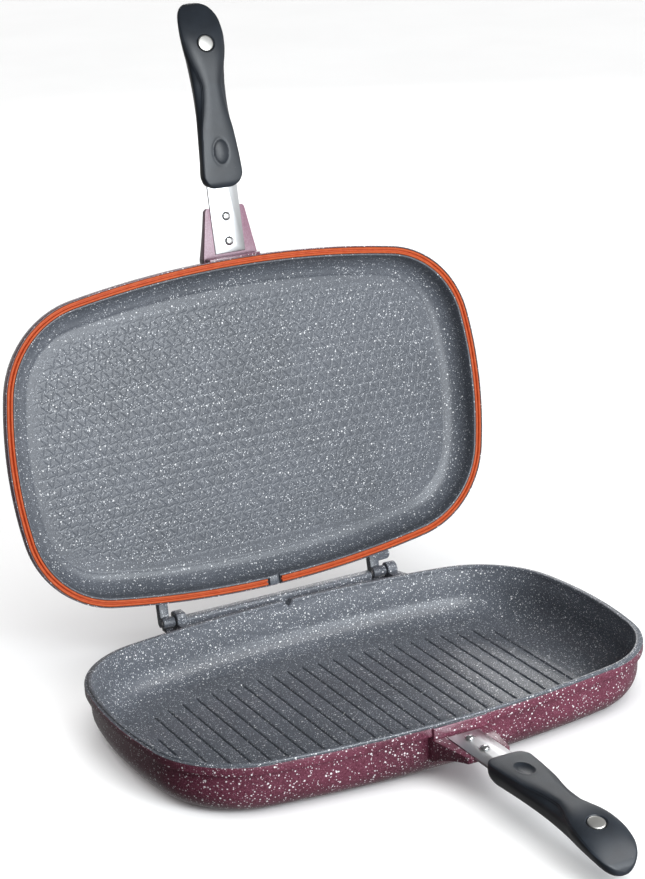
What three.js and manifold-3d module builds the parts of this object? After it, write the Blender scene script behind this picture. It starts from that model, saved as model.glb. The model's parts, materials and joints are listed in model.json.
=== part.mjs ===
// Double sided flip pan, shown open: a deep ribbed lower pan and a shallow
// upper pan, hinged along the back rim, each with a riveted steel shank and a
// phenolic grip at the front.
//
// Millimetres, +Z up. The origin is the centre of the lower pan's flat
// underside; +X runs along the hinge, +Y points to the hinge, the grips point
// to -Y. Both halves are drawn as they lie when the pan is shut, on the parting
// plane z = PARTING; the upper half then stands in a group that is turned open
// about the hinge axis.

import * as THREE from 'three';
import { mergeVertices } from 'three/addons/utils/BufferGeometryUtils.js';
import Module from 'manifold-3d';

const wasm = await Module();
wasm.setup();

// ---------------------------------------------------------------- dimensions
const HALF_LENGTH = 200;      // outline half length along the hinge
const HALF_DEPTH = 126.9;     // outline half depth, hinge to grip side
const LONG_RADIUS = 800;      // slow curve of the two long sides
const SHORT_RADIUS = 316;     // slow curve of the two short sides
const CORNER_RADIUS = 74.6;   // outline corners
const PARTING = 42;           // height of the parting plane = lower pan depth
const UPPER_DEPTH = 26;       // upper pan depth above the parting plane
const OPEN_ANGLE = 99.9;      // degrees the upper half stands open
const HINGE_Y = 135.4;        // hinge axis
const HINGE_Z = PARTING - 0.6;
const FLOOR = 4;              // floor thickness of both halves

const GROOVE_PITCH = 13.05;   // grill grooves in the lower floor
const GROOVE_FIRST = -154.2;
const GROOVE_COUNT = 24;
const GROOVE_WIDTH = 2.0;
const GROOVE_DEPTH = 1.6;
const RIB_FIELD_INSET = 44;   // the grooves stop this far inside the outline

const SEAL_IN = 5.8;          // seal, inset of its inner and outer edges
const SEAL_OUT = 1.2;
const SEAL_BOTTOM = 3.2;      // above the parting plane
const SEAL_CROWN = 0.3;
const VENT_LEFT = -7.6;       // the seal stops at the vent block
const VENT_RIGHT = 4.8;

const PIN_RADIUS = 1.7;
const PIN_CLEARANCE = 0.25;
const BARREL_RADIUS = 4.2;
const KNUCKLE_RADIUS = 5.8;
const BARREL_LEFT = [-99.5, -90.0];
const BARREL_RIGHT = [82.3, 93.2];
const KNUCKLE_LEFT = [-89.3, -81.7];
const KNUCKLE_RIGHT = [94.0, 102.4];

const SHANK_DROP = 8.2;       // face of the steel shank below the parting plane
const SHANK_THICK = 2.1;
const SHANK_HALF = 12.3;
const SHANK_START = -130.9;
const TANG_HALF = 7;
const TANG_END = -240;
const RIVET_Y = [-139.4, -158.1];
const RIVET_RADIUS = 2.0;
const RIVET_HEAD = 3.5;
const SCREW_Y = -228;
const BUMP_Y = -206.5;        // oval boss of the upper grip, hollow of the lower
const MAGNET_Y = -287;
const MAGNET_RADIUS = 6;
const MAGNET_TILT = 13.5;     // degrees, follows the curved face of the grip
const GRIP_FACE = 2.4;        // grip face from the parting plane

// ------------------------------------------------------------------- helpers
const rad = (d) => (d * Math.PI) / 180;

function solid(geometry) {
  const g = geometry.clone();
  g.deleteAttribute('normal');
  g.deleteAttribute('uv');
  const m = mergeVertices(g, 1e-4);
  const idx = m.index.array;
  const v = m.attributes.position.array;
  const at = (i) => new THREE.Vector3(v[3 * i], v[3 * i + 1], v[3 * i + 2]);
  let volume = 0;
  const tri = [];
  for (let i = 0; i < idx.length; i += 3) {
    const [a, b, c] = [idx[i], idx[i + 1], idx[i + 2]];
    if (a === b || b === c || a === c) continue;
    tri.push(a, b, c);
    volume += at(a).dot(at(b).cross(at(c)));
  }
  if (volume < 0) tri.reverse();
  return new wasm.Manifold(new wasm.Mesh({
    numProp: 3,
    vertProperties: new Float32Array(m.attributes.position.array),
    triVerts: new Uint32Array(tri),
  }));
}

function geometryOf(manifold) {
  const m = manifold.getMesh();
  const g = new THREE.BufferGeometry();
  g.setAttribute('position', new THREE.BufferAttribute(new Float32Array(m.vertProperties), 3));
  g.setIndex(new THREE.BufferAttribute(new Uint32Array(m.triVerts), 1));
  const flat = g.toNonIndexed();
  flat.computeVertexNormals();
  return flat;
}

// Rounded outline made of tangent arcs, moved inwards by an inset.
function outline(inset) {
  const c1 = new THREE.Vector2(0, HALF_DEPTH - LONG_RADIUS);
  const c2 = new THREE.Vector2(HALF_LENGTH - SHORT_RADIUS, 0);
  const d1 = LONG_RADIUS - CORNER_RADIUS;
  const d2 = SHORT_RADIUS - CORNER_RADIUS;
  const gap = c2.clone().sub(c1);
  const D = gap.length();
  const u = gap.clone().divideScalar(D);
  const along = (d1 * d1 - d2 * d2 + D * D) / (2 * D);
  const h = Math.sqrt(d1 * d1 - along * along);
  const p = c1.clone().addScaledVector(u, along);
  const side = new THREE.Vector2(-u.y, u.x);
  const ca = p.clone().addScaledVector(side, h);
  const cb = p.clone().addScaledVector(side, -h);
  const cc = ca.x + ca.y > cb.x + cb.y ? ca : cb;
  const al = Math.atan2(cc.y - c1.y, cc.x - c1.x);
  const be = Math.atan2(cc.y - c2.y, cc.x - c2.x);
  const q = [];
  const arc = (c, r, a0, a1, n, from) => {
    for (let i = from; i <= n; i++) {
      const t = a0 + ((a1 - a0) * i) / n;
      q.push([c.x + r * Math.cos(t), c.y + r * Math.sin(t)]);
    }
  };
  arc(c2, SHORT_RADIUS - inset, 0, be, 3, 0);
  arc(cc, CORNER_RADIUS - inset, be, al, 8, 1);
  arc(c1, LONG_RADIUS - inset, al, Math.PI / 2, 5, 1);
  const n = q.length;
  const all = q.slice();
  for (let i = n - 2; i >= 0; i--) all.push([-q[i][0], q[i][1]]);
  for (let i = 1; i < n; i++) all.push([-q[i][0], -q[i][1]]);
  for (let i = n - 2; i > 0; i--) all.push([q[i][0], -q[i][1]]);
  return all;
}

// Skin over a row of closed loops; a loop of one point closes the skin.
function skin(loops) {
  const pos = [];
  const start = [];
  for (const loop of loops) {
    start.push(pos.length / 3);
    for (const v of loop) pos.push(...v);
  }
  const tri = [];
  const n = Math.max(...loops.map((l) => l.length));
  for (let j = 0; j + 1 < loops.length; j++) {
    const A = loops[j].length === 1 ? () => start[j] : (i) => start[j] + (i % n);
    const B = loops[j + 1].length === 1 ? () => start[j + 1] : (i) => start[j + 1] + (i % n);
    for (let i = 0; i < n; i++) {
      if (loops[j].length > 1) tri.push(A(i), A(i + 1), B(i));
      if (loops[j + 1].length > 1) tri.push(A(i + 1), B(i + 1), B(i));
    }
  }
  const g = new THREE.BufferGeometry();
  g.setAttribute('position', new THREE.BufferAttribute(new Float32Array(pos), 3));
  g.setIndex(tri);
  return g;
}

// Bowl from stations [inset, z]; the first and last station close on the axis.
function bowl(stations) {
  const loops = stations.map(([inset, z]) => outline(inset).map(([x, y]) => [x, y, z]));
  return skin([[[0, 0, stations[0][1]]], ...loops, [[0, 0, stations[stations.length - 1][1]]]]);
}

function fillet(cg, cz, rg, rz, a0, a1, n) {
  const out = [];
  for (let i = 0; i <= n; i++) {
    const t = rad(a0 + ((a1 - a0) * i) / n);
    out.push([cg - rg * Math.cos(t), cz - rz * Math.sin(t)]);
  }
  return out;
}

// Outline drawn in (y, z), pulled along X.
function pullX(points, x0, x1) {
  const s = new THREE.Shape(points.map(([y, z]) => new THREE.Vector2(y, z)));
  const g = new THREE.ExtrudeGeometry(s, { depth: x1 - x0, bevelEnabled: false, curveSegments: 6 });
  g.applyMatrix4(new THREE.Matrix4().makeBasis(
    new THREE.Vector3(0, 1, 0), new THREE.Vector3(0, 0, 1), new THREE.Vector3(1, 0, 0)));
  return solid(g.translate(x0, 0, 0));
}

// Outline drawn in (x, y), pulled along Z.
function pullZ(points, z0, z1) {
  const s = new THREE.Shape(points.map(([x, y]) => new THREE.Vector2(x, y)));
  const g = new THREE.ExtrudeGeometry(s, { depth: z1 - z0, bevelEnabled: false, curveSegments: 6 });
  return solid(g.translate(0, 0, z0));
}

function arcPoints(cy, cz, r, a0, a1, n) {
  const out = [];
  for (let i = 0; i <= n; i++) {
    const t = rad(a0 + ((a1 - a0) * i) / n);
    out.push([cy + r * Math.cos(t), cz + r * Math.sin(t)]);
  }
  return out;
}

function rodX(radius, x0, x1, sides = 16) {
  const g = new THREE.CylinderGeometry(radius, radius, x1 - x0, sides);
  g.rotateZ(Math.PI / 2);
  return solid(g.translate((x0 + x1) / 2, HINGE_Y, HINGE_Z));
}

// Turned piece from [radius, height] pairs, standing on +Z.
function turned(profile, sides = 16) {
  const g = new THREE.LatheGeometry(profile.map(([r, z]) => new THREE.Vector2(r, z)), sides);
  return g.rotateX(Math.PI / 2);
}

function block(x0, x1, y0, y1, z0, z1) {
  const g = new THREE.BoxGeometry(x1 - x0, y1 - y0, z1 - z0);
  return solid(g.translate((x0 + x1) / 2, (y0 + y1) / 2, (z0 + z1) / 2));
}

// The upper half is the lower half's hardware mirrored on the parting plane.
function mirrored(manifold) {
  return solid(geometryOf(manifold).scale(1, 1, -1).translate(0, 0, 2 * PARTING));
}

// ---------------------------------------------------------------- bracket
// Cast bracket under the shank, drawn for a lower half: plan outline cut by a
// side profile. mid and deep are the drops of its sloping underside.
function bracket(root, mid, deep) {
  const plan = pullZ([
    [-22.3, root], [-22.3, -128.5], [-16.4, -163.6], [-14.8, -165.4],
    [14.8, -165.4], [16.4, -163.6], [22.3, -128.5], [22.3, root],
  ], 0, PARTING);
  const P = PARTING;
  const side = pullX([
    [root, P - 8.9], [-165.4, P - 8.9], [-165.4, P - 12.6], [-163.8, P - 13.4],
    [-148, P - mid], [-127, P - deep], [root, P - deep],
  ], -30, 30);
  return plan.intersect(side);
}

function bracketCuts() {
  const P = PARTING;
  let c = block(-SHANK_HALF - 0.3, SHANK_HALF + 0.3, -170, -130.5,
    P - SHANK_DROP - SHANK_THICK - 0.3, P - 8.0);
  for (const y of RIVET_Y) {
    c = c.add(solid(turned([[0, 0], [RIVET_RADIUS + 0.25, 0], [RIVET_RADIUS + 0.25, 12], [0, 12]], 12)
      .translate(0, y, P - 20)));
    c = c.add(solid(turned([[0, 0], [4.4, 0], [4.4, 16.4], [0, 16.4]], 12).translate(0, y, P - 30)));
  }
  return c;
}

// ---------------------------------------------------------------- lower pan
function lowerPan() {
  const P = PARTING;
  let pan = solid(bowl([
    ...fillet(26, 22, 22, 22, 90, 0, 6),
    [3.4, 34.2], [0.2, 34.9], [0, 36], [0, 40.3], [0.6, 41],
    [2.4, 41], [2.9, 42], [4.8, 42], [5.6, 41.1],
    ...fillet(26.5, 22.5, 18.5, 18.5, 0, 90, 6),
  ]));

  // grill grooves
  const field = outline(RIB_FIELD_INSET);
  const reach = (x) => {
    let best = 0;
    for (let i = 0; i < field.length; i++) {
      const [ax, ay] = field[i];
      const [bx, by] = field[(i + 1) % field.length];
      if ((ax - x) * (bx - x) <= 0 && ax !== bx) {
        best = Math.max(best, ay + ((by - ay) * (x - ax)) / (bx - ax));
      }
    }
    return best;
  };
  for (let k = 0; k < GROOVE_COUNT; k++) {
    const x = GROOVE_FIRST + GROOVE_PITCH * k;
    const y = reach(x);
    if (y < 6) continue;
    pan = pan.subtract(block(x - GROOVE_WIDTH / 2, x + GROOVE_WIDTH / 2, -y, y,
      FLOOR - GROOVE_DEPTH, FLOOR + 2));
  }

  // hinge rail behind the rim, with its web
  const rail = pullX([
    [129.5, P - 8.5], [138.3, P - 8.5], [138.3, P + 0.7], [137.2, P + 1.9],
    [130.9, P + 1.9], [129.5, P + 0.4],
  ], KNUCKLE_LEFT[1] - 1, 79);
  pan = pan.add(rail);
  pan = pan.add(block(KNUCKLE_LEFT[0] + 0.5, 79, 121.4, 131, P - 7.5, P - 3.5));

  // knuckles, each with a foot to the rim and a stop ledge behind the barrel
  const left = pullX([
    [129.3, P - 7], [129.3, P + 3.6], [131.3, P + 6.1], [139.3, P + 6.1],
    [141.5, P + 4], [141.5, P - 7],
  ], ...KNUCKLE_LEFT);
  const right = pullX(arcPoints(HINGE_Y, HINGE_Z, KNUCKLE_RADIUS, 0, 345, 23), ...KNUCKLE_RIGHT);
  pan = pan.add(left).add(right);
  pan = pan.add(block(KNUCKLE_LEFT[0], KNUCKLE_LEFT[1], 119, 136, P - 7.4, P - 1.5));
  pan = pan.add(block(KNUCKLE_RIGHT[0], KNUCKLE_RIGHT[1], 117.6, 136, P - 7.4, P - 1.5));
  pan = pan.add(block(-96, KNUCKLE_LEFT[1], HINGE_Y + 1, HINGE_Y + 9, HINGE_Z - 9.5, HINGE_Z - 5.6));
  pan = pan.add(block(84, KNUCKLE_RIGHT[1], HINGE_Y + 1, HINGE_Y + 9, HINGE_Z - 9.5, HINGE_Z - 5.6));
  // web joining the right ledge to the rail's end
  pan = pan.add(block(74, 86, HINGE_Y - 2, HINGE_Y + 9, HINGE_Z - 9.5, HINGE_Z - 7.1));

  // pin bores
  pan = pan.subtract(rodX(PIN_RADIUS + PIN_CLEARANCE, KNUCKLE_LEFT[0] - 1, -82.3));
  pan = pan.subtract(rodX(PIN_RADIUS + PIN_CLEARANCE, KNUCKLE_RIGHT[0] - 1, 104));

  // steam notch through the back rim
  const notch = new THREE.Shape([
    new THREE.Vector2(-4.4, P + 0.01), new THREE.Vector2(0.9, P - 5), new THREE.Vector2(4.6, P + 0.01)]);
  const ng = new THREE.ExtrudeGeometry(notch, { depth: 13, bevelEnabled: false });
  ng.applyMatrix4(new THREE.Matrix4().makeBasis(
    new THREE.Vector3(1, 0, 0), new THREE.Vector3(0, 0, 1), new THREE.Vector3(0, -1, 0)));
  pan = pan.subtract(solid(ng.translate(0, 129.2, 0)));

  // bracket, and the pad of the rim band above it
  pan = pan.add(bracket(-120.9, 18, 25.5));
  pan = pan.add(block(-21.3, 21.3, -128.5, -125.5, P - 9.2, P - 1));
  return pan.subtract(bracketCuts());
}

// ---------------------------------------------------------------- upper pan
function upperPan() {
  const P = PARTING;
  const top = P + UPPER_DEPTH;
  // from the outer face of the cooking base, over the rim, to the inner floor
  let pan = solid(bowl([
    ...fillet(22, top - 18, 18, -18, 90, 0, 6),
    [3.4, P + 7.6], [0.2, P + 7], [0, P + 6], [0, P + 0.9], [0.35, P + 0.4],
    [0.8, P + 0.4], [0.9, P + 3.5], [6.1, P + 3.5], [6.2, P + 0.5], [7.0, P + 0.5], [7.5, P + 1.2],
    ...fillet(25, P + 7.5, 17, -14.5, 0, 90, 6),
  ]));

  // lugs with their barrels
  const lug = (x0, x1, lip) => pullX([
    [lip, P + 1.0], [HINGE_Y - 4.3, P + 1.0],
    ...arcPoints(HINGE_Y, HINGE_Z, BARREL_RADIUS, 160, 390, 14),
    [HINGE_Y + 4.2, HINGE_Z + 5.6], [HINGE_Y + 3.2, HINGE_Z + 6.8], [HINGE_Y + 1.4, HINGE_Z + 8.2],
    [HINGE_Y - 17, HINGE_Z + 8.2], [HINGE_Y - 17, P + 3.8], [lip, P + 3.8],
  ], x0, x1);
  const barrel = (x0, x1) => pullX(arcPoints(HINGE_Y, HINGE_Z, BARREL_RADIUS, 0, 337.5, 15), x0, x1);
  pan = pan.add(lug(BARREL_LEFT[0], BARREL_LEFT[0] + 7.2, 120.2)).add(barrel(...BARREL_LEFT));
  pan = pan.add(lug(BARREL_RIGHT[0] + 0.2, BARREL_RIGHT[0] + 7.9, 121.2)).add(barrel(...BARREL_RIGHT));
  // short round-ended flange beside the right lug
  pan = pan.add(pullZ([[88, 119.5], [100.6, 119.5], [100.6, 125.5], [99, 127.6], [88, 128]],
    P + 0.9, P + 5.2));
  pan = pan.subtract(rodX(PIN_RADIUS + PIN_CLEARANCE, BARREL_LEFT[0] - 1, BARREL_LEFT[1] + 1));
  pan = pan.subtract(rodX(PIN_RADIUS + PIN_CLEARANCE, BARREL_RIGHT[0] - 0.6, BARREL_RIGHT[1] + 1));

  pan = pan.add(mirrored(bracket(-119.9, 15.2, 17.5)));
  pan = pan.add(mirrored(block(-21.3, 21.3, -128.5, -125.5, P - 9.2, P - 1)));
  pan = pan.subtract(mirrored(bracketCuts()));

  // seal channel, cleared again behind the lugs and the bracket
  pan = pan.subtract(pullZ(outline(0.9), P - 2, P + 3.5).subtract(pullZ(outline(6.1), P - 3, P + 4)));

  // vent block that fills the channel at the back, with its slot
  pan = pan.add(block(VENT_LEFT + 1, VENT_RIGHT - 1, 119.3, 126.3, P + 0.4, P + 5));
  return pan.subtract(block(0.2, 3.1, 112, 130, P - 1, P + 2.6));
}

// ---------------------------------------------------------------- seal
// Silicone strip with two ridges and a groove between them, open at the vent.
function seal() {
  const P = PARTING;
  const mid = (SEAL_IN + SEAL_OUT) / 2;
  const section = [
    [SEAL_OUT, P + SEAL_BOTTOM], [SEAL_OUT, P + 0.9], [SEAL_OUT + 0.7, P + SEAL_CROWN],
    [mid - 0.6, P + SEAL_CROWN + 0.1], [mid, P + 1.2], [mid + 0.6, P + SEAL_CROWN + 0.1],
    [SEAL_IN - 0.7, P + SEAL_CROWN], [SEAL_IN, P + 0.9], [SEAL_IN, P + SEAL_BOTTOM],
  ];
  const rings = section.map(([g]) => outline(g));
  const n = rings[0].length;
  const back = n / 4;                      // outline point nearest the vent
  const cross = (i) => section.map(([, z], k) => [rings[k][i % n][0], rings[k][i % n][1], z]);
  const at = (x) => section.map(([g, z]) => {
    const y = HALF_DEPTH - LONG_RADIUS + Math.sqrt((LONG_RADIUS - g) ** 2 - x * x);
    return [x, y, z];
  });
  const loops = [at(VENT_LEFT)];
  for (let s = 1; s < n; s++) loops.push(cross(back + s));
  loops.push(at(VENT_RIGHT));
  const centre = (l) => [0, 1, 2].map((c) => l.reduce((a, v) => a + v[c], 0) / l.length);
  return solid(skin([[centre(loops[0])], ...loops, [centre(loops[loops.length - 1])]]));
}

// ---------------------------------------------------------------- shank
function shank() {
  const P = PARTING;
  let s = pullZ([
    [-SHANK_HALF, SHANK_START], [-SHANK_HALF, -190], [-TANG_HALF, -202], [-TANG_HALF, TANG_END + 3],
    [-TANG_HALF + 3, TANG_END], [TANG_HALF - 3, TANG_END], [TANG_HALF, TANG_END + 3], [TANG_HALF, -202],
    [SHANK_HALF, -190], [SHANK_HALF, SHANK_START],
  ], P - SHANK_DROP - SHANK_THICK, P - SHANK_DROP);
  for (const y of RIVET_Y) {
    s = s.subtract(solid(turned([[0, 0], [RIVET_RADIUS + 0.25, 0], [RIVET_RADIUS + 0.25, 8], [0, 8]], 12)
      .translate(0, y, P - 14)));
  }
  return s.subtract(solid(turned([[0, 0], [2.0, 0], [2.0, 8], [0, 8]], 12).translate(0, SCREW_Y, P - 14)));
}

// Domed rivet: head on the shank, shaft through the bracket, flat tail below.
function rivet(y) {
  const P = PARTING;
  const f = P - SHANK_DROP + 0.3;
  const t = P - 13.6 - 0.3;
  return solid(turned([
    [0, t - 1.1], [3.4, t - 1.1], [3.4, t], [RIVET_RADIUS, t], [RIVET_RADIUS, f],
    [RIVET_HEAD, f], [3.2, f + 0.8], [2.0, f + 1.45], [0, f + 1.7],
  ], 12).translate(0, y, 0));
}

// ---------------------------------------------------------------- grip
// Cross sections along the grip: y, face half width, face distance (0: on the
// curve of faceAt), crown of the face, then [half width, distance] of four
// points round the back. Distances are from the parting plane.
const faceAt = (y) => {
  const u = Math.max(0, -266 - y);
  return GRIP_FACE + 0.00342 * u ** 2 + 0.0000728 * u ** 3;
};
const GRIP_SECTIONS = [
  [-179.6, 7.6, 5.2, 0.2, [8.0, 8.0], [7.2, 12.5], [5.0, 16.0], [2.2, 17.6]],
  [-181.2, 11.4, 3.6, 0.3, [12.2, 8.0], [10.8, 13.6], [7.6, 17.8], [3.6, 19.4]],
  [-184.4, 14.5, 2.6, 0.4, [15.0, 8.0], [13.4, 13.8], [9.6, 18.6], [4.6, 20.6]],
  [-190.0, 16.1, 0, 0.5, [16.3, 8.0], [14.6, 13.2], [10.6, 18.9], [5.0, 21.4]],
  [-200.0, 15.5, 0, 0.7, [15.7, 8.0], [13.8, 13.0], [10.1, 18.9], [4.8, 21.6]],
  [-212.0, 14.4, 0, 0.9, [14.9, 8.2], [13.0, 13.2], [9.5, 18.9], [4.6, 21.8]],
  [-224.0, 13.0, 0, 1.2, [14.0, 8.4], [12.3, 13.3], [9.1, 19.0], [4.4, 22.2]],
  [-236.0, 10.6, 0, 1.5, [13.0, 8.4], [11.6, 13.6], [8.8, 19.2], [4.2, 22.3]],
  [-246.0, 9.2, 0, 1.8, [12.6, 8.2], [11.5, 13.7], [8.9, 19.4], [4.2, 22.4]],
  [-255.0, 8.6, 0, 2.0, [12.7, 8.2], [11.8, 14.0], [9.2, 19.7], [4.4, 22.8]],
  [-264.0, 10.6, 0, 2.2, [13.3, 8.0], [12.5, 14.0], [9.6, 20.1], [4.6, 23.4]],
  [-274.0, 13.9, 0, 2.5, [14.7, 8.6], [13.4, 14.2], [10.2, 20.8], [4.8, 24.4]],
  [-284.0, 16.2, 0, 2.8, [16.6, 9.8], [14.6, 15.4], [10.9, 21.8], [5.0, 25.6]],
  [-294.0, 17.1, 0, 2.4, [17.2, 11.6], [15.0, 16.8], [11.2, 22.8], [5.0, 27.0]],
  [-303.0, 16.6, 0, 1.7, [16.1, 14.9], [14.2, 19.2], [10.6, 24.6], [4.8, 28.6]],
  [-310.0, 14.2, 0, 0.8, [13.9, 18.4], [12.2, 22.4], [8.8, 26.6], [3.8, 29.2]],
  [-314.6, 10.6, 0, 0.3, [10.4, 21.2], [9.2, 24.2], [6.4, 27.4], [2.6, 28.8]],
  [-317.0, 5.6, 22.8, 0, [5.4, 24.2], [4.6, 25.6], [3.2, 27.0], [1.3, 27.6]],
];

function gripBody() {
  const P = PARTING;
  const loops = GRIP_SECTIONS.map(([y, wf, d0, crown, ...back]) => {
    const f = d0 || faceAt(y);
    const half = [
      [wf * 0.45, f + 0.2 * crown], [wf * 0.8, f + 0.62 * crown], [wf * 0.96, f + 0.95 * crown],
      [wf, f + crown + 0.9], ...back,
    ];
    const ring = [...half.map(([x, d]) => [x, y, P - d]),
      ...half.slice().reverse().map(([x, d]) => [-x, y, P - d])];
    return ring;
  });
  const centre = (l, y) => [0, y, l.reduce((a, v) => a + v[2], 0) / l.length];
  return solid(skin([[centre(loops[0], -179.4)], ...loops,
    [centre(loops[loops.length - 1], -317.7)]]));
}

function gripCuts() {
  const P = PARTING;
  const z0 = P - SHANK_DROP - SHANK_THICK - 0.3;
  const z1 = P - SHANK_DROP + 0.3;
  let c = pullZ([
    [-SHANK_HALF - 0.3, -175], [-SHANK_HALF - 0.3, -190.2], [-TANG_HALF - 0.35, -202.2],
    [-TANG_HALF - 0.35, TANG_END - 0.4], [TANG_HALF + 0.35, TANG_END - 0.4], [TANG_HALF + 0.35, -202.2],
    [SHANK_HALF + 0.3, -190.2], [SHANK_HALF + 0.3, -175],
  ], z0, z1);
  // screw hole from the back, with a seat for the head
  c = c.add(solid(turned([[0, 0], [1.95, 0], [1.95, 16], [0, 16]], 12).translate(0, SCREW_Y, P - 21.5)));
  c = c.add(solid(turned([[0, 0], [3.9, 0], [3.9, 9], [0, 9]], 12).translate(0, SCREW_Y, P - 28.4)));
  // seat of the magnet disc
  const seat = turned([[0, 0], [MAGNET_RADIUS + 0.35, 0], [MAGNET_RADIUS + 0.35, 9], [0, 9]], 20);
  seat.rotateX(rad(MAGNET_TILT)).translate(0, MAGNET_Y + 0.6, P - faceAt(MAGNET_Y) - 3.3);
  return c.add(solid(seat));
}

function oval(depth) {
  const g = new THREE.SphereGeometry(1, 16, 10);
  g.scale(6, 9, depth);
  return solid(g.translate(0, BUMP_Y, PARTING - GRIP_FACE));
}

function magnet() {
  const t = 3.0;
  const g = turned([
    [0, 0], [MAGNET_RADIUS, 0], [MAGNET_RADIUS, t - 0.8], [MAGNET_RADIUS - 0.8, t - 0.1], [0, t + 0.2],
  ], 20);
  g.rotateX(rad(MAGNET_TILT)).translate(0, MAGNET_Y + 0.53, PARTING - faceAt(MAGNET_Y) - 2.95);
  return solid(g);
}

function screw() {
  const z = PARTING - 19.7;
  return solid(turned([
    [0, z - 2.2], [3.1, z - 2.2], [3.5, z - 1.4], [3.5, z], [1.6, z], [1.6, z + 12.6], [0, z + 13.2],
  ], 12).translate(0, SCREW_Y, 0));
}

// ---------------------------------------------------------------- assembly
const material = (colour, roughness, metalness) =>
  new THREE.MeshStandardMaterial({ color: colour, roughness, metalness });

const shell = (colour) => material(colour, 0.35, 0.2);
const part = new THREE.Group();
const lower = new THREE.Group();
const upper = new THREE.Group();
part.add(lower, upper);

upper.position.set(0, HINGE_Y, HINGE_Z);
upper.rotation.x = -rad(OPEN_ANGLE);

function place(group, name, manifold, mat) {
  const g = geometryOf(manifold);
  if (group === upper) g.translate(0, -HINGE_Y, -HINGE_Z);
  const mesh = new THREE.Mesh(g, mat);
  mesh.name = name;
  group.add(mesh);
}

const steel = () => material(0xd4d6d8, 0.18, 1.0);
const phenolic = () => material(0x26282b, 0.42, 0.0);
const nickel = () => material(0xc9c9c6, 0.25, 1.0);

place(lower, 'lower_pan', lowerPan(), shell(0x5c2434));
place(lower, 'hinge_pin_left', rodX(PIN_RADIUS, -99.3, -82.6), steel());
place(lower, 'hinge_pin_right', rodX(PIN_RADIUS, 82.1, 102.2), steel());
place(lower, 'lower_shank', shank(), steel());
place(lower, 'lower_rivet_inner', rivet(RIVET_Y[0]), steel());
place(lower, 'lower_rivet_outer', rivet(RIVET_Y[1]), steel());
place(lower, 'lower_grip', gripBody().subtract(gripCuts()).subtract(oval(1.6)), phenolic());
place(lower, 'lower_magnet', magnet(), nickel());
place(lower, 'lower_grip_screw', screw(), steel());

place(upper, 'upper_pan', upperPan(), shell(0x5a5d63));
place(upper, 'seal', seal(), material(0xd4551f, 0.5, 0.0));
place(upper, 'upper_shank', mirrored(shank()), steel());
place(upper, 'upper_rivet_inner', mirrored(rivet(RIVET_Y[0])), steel());
place(upper, 'upper_rivet_outer', mirrored(rivet(RIVET_Y[1])), steel());
place(upper, 'upper_grip', mirrored(gripBody().add(oval(1.4)).subtract(gripCuts())), phenolic());
place(upper, 'upper_magnet', mirrored(magnet()), nickel());
place(upper, 'upper_grip_screw', mirrored(screw()), steel());

export default part;
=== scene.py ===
"""Looks of a double sided flip pan, shown open."""

import json
import math

import bmesh
import bpy
import numpy as np
from mathutils import Matrix, Vector
from mathutils.geometry import delaunay_2d_cdt

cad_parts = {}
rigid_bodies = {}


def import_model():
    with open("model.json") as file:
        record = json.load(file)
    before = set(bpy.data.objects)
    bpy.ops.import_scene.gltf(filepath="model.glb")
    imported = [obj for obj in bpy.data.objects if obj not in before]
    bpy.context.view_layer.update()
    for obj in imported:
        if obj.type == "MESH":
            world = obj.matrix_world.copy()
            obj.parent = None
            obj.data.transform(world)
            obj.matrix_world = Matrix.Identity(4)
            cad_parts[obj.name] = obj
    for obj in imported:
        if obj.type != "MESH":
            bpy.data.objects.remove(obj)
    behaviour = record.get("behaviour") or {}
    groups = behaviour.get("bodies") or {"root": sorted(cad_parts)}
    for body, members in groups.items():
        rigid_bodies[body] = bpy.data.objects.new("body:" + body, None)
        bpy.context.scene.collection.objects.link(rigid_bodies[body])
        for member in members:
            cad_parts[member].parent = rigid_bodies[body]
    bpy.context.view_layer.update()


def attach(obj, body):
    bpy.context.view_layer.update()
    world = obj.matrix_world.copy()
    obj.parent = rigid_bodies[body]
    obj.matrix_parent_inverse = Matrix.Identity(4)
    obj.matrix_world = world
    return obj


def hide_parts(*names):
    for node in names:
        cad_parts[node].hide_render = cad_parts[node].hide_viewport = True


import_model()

MM = 0.001

# ---------------------------------------------------------------- dimensions
HALF_LENGTH, HALF_DEPTH = 200.0, 126.9
LONG_R, SHORT_R, CORNER_R = 800.0, 316.0, 74.6
P = 42.0                      # parting plane
UPPER = 26.0                  # depth of the upper half
HY, HZ = 135.4, P - 0.6       # hinge axis
OPEN = math.radians(99.9)

GROOVE_PITCH, GROOVE_FIRST, GROOVES = 13.05, -154.2, 24
RIB_INSET = 44.0
BARREL_L, BARREL_R = (-99.5, -90.0), (82.3, 93.2)
KNUCKLE_L, KNUCKLE_R = (-89.3, -81.7), (94.0, 102.4)
BARREL = 4.2
RIVET_Y = (-139.4, -158.1)
SHANK_DROP, SHANK_THICK, SHANK_HALF, SHANK_START = 8.2, 2.1, 12.3, -130.9
BUMP_Y, MAGNET_Y, MAGNET_R, MAGNET_TILT = -206.5, -287.0, 6.0, math.radians(13.5)
GRIP_FACE = 2.4
SCREW_Y = -228.0
VENT = (-7.6, 4.8)


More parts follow.
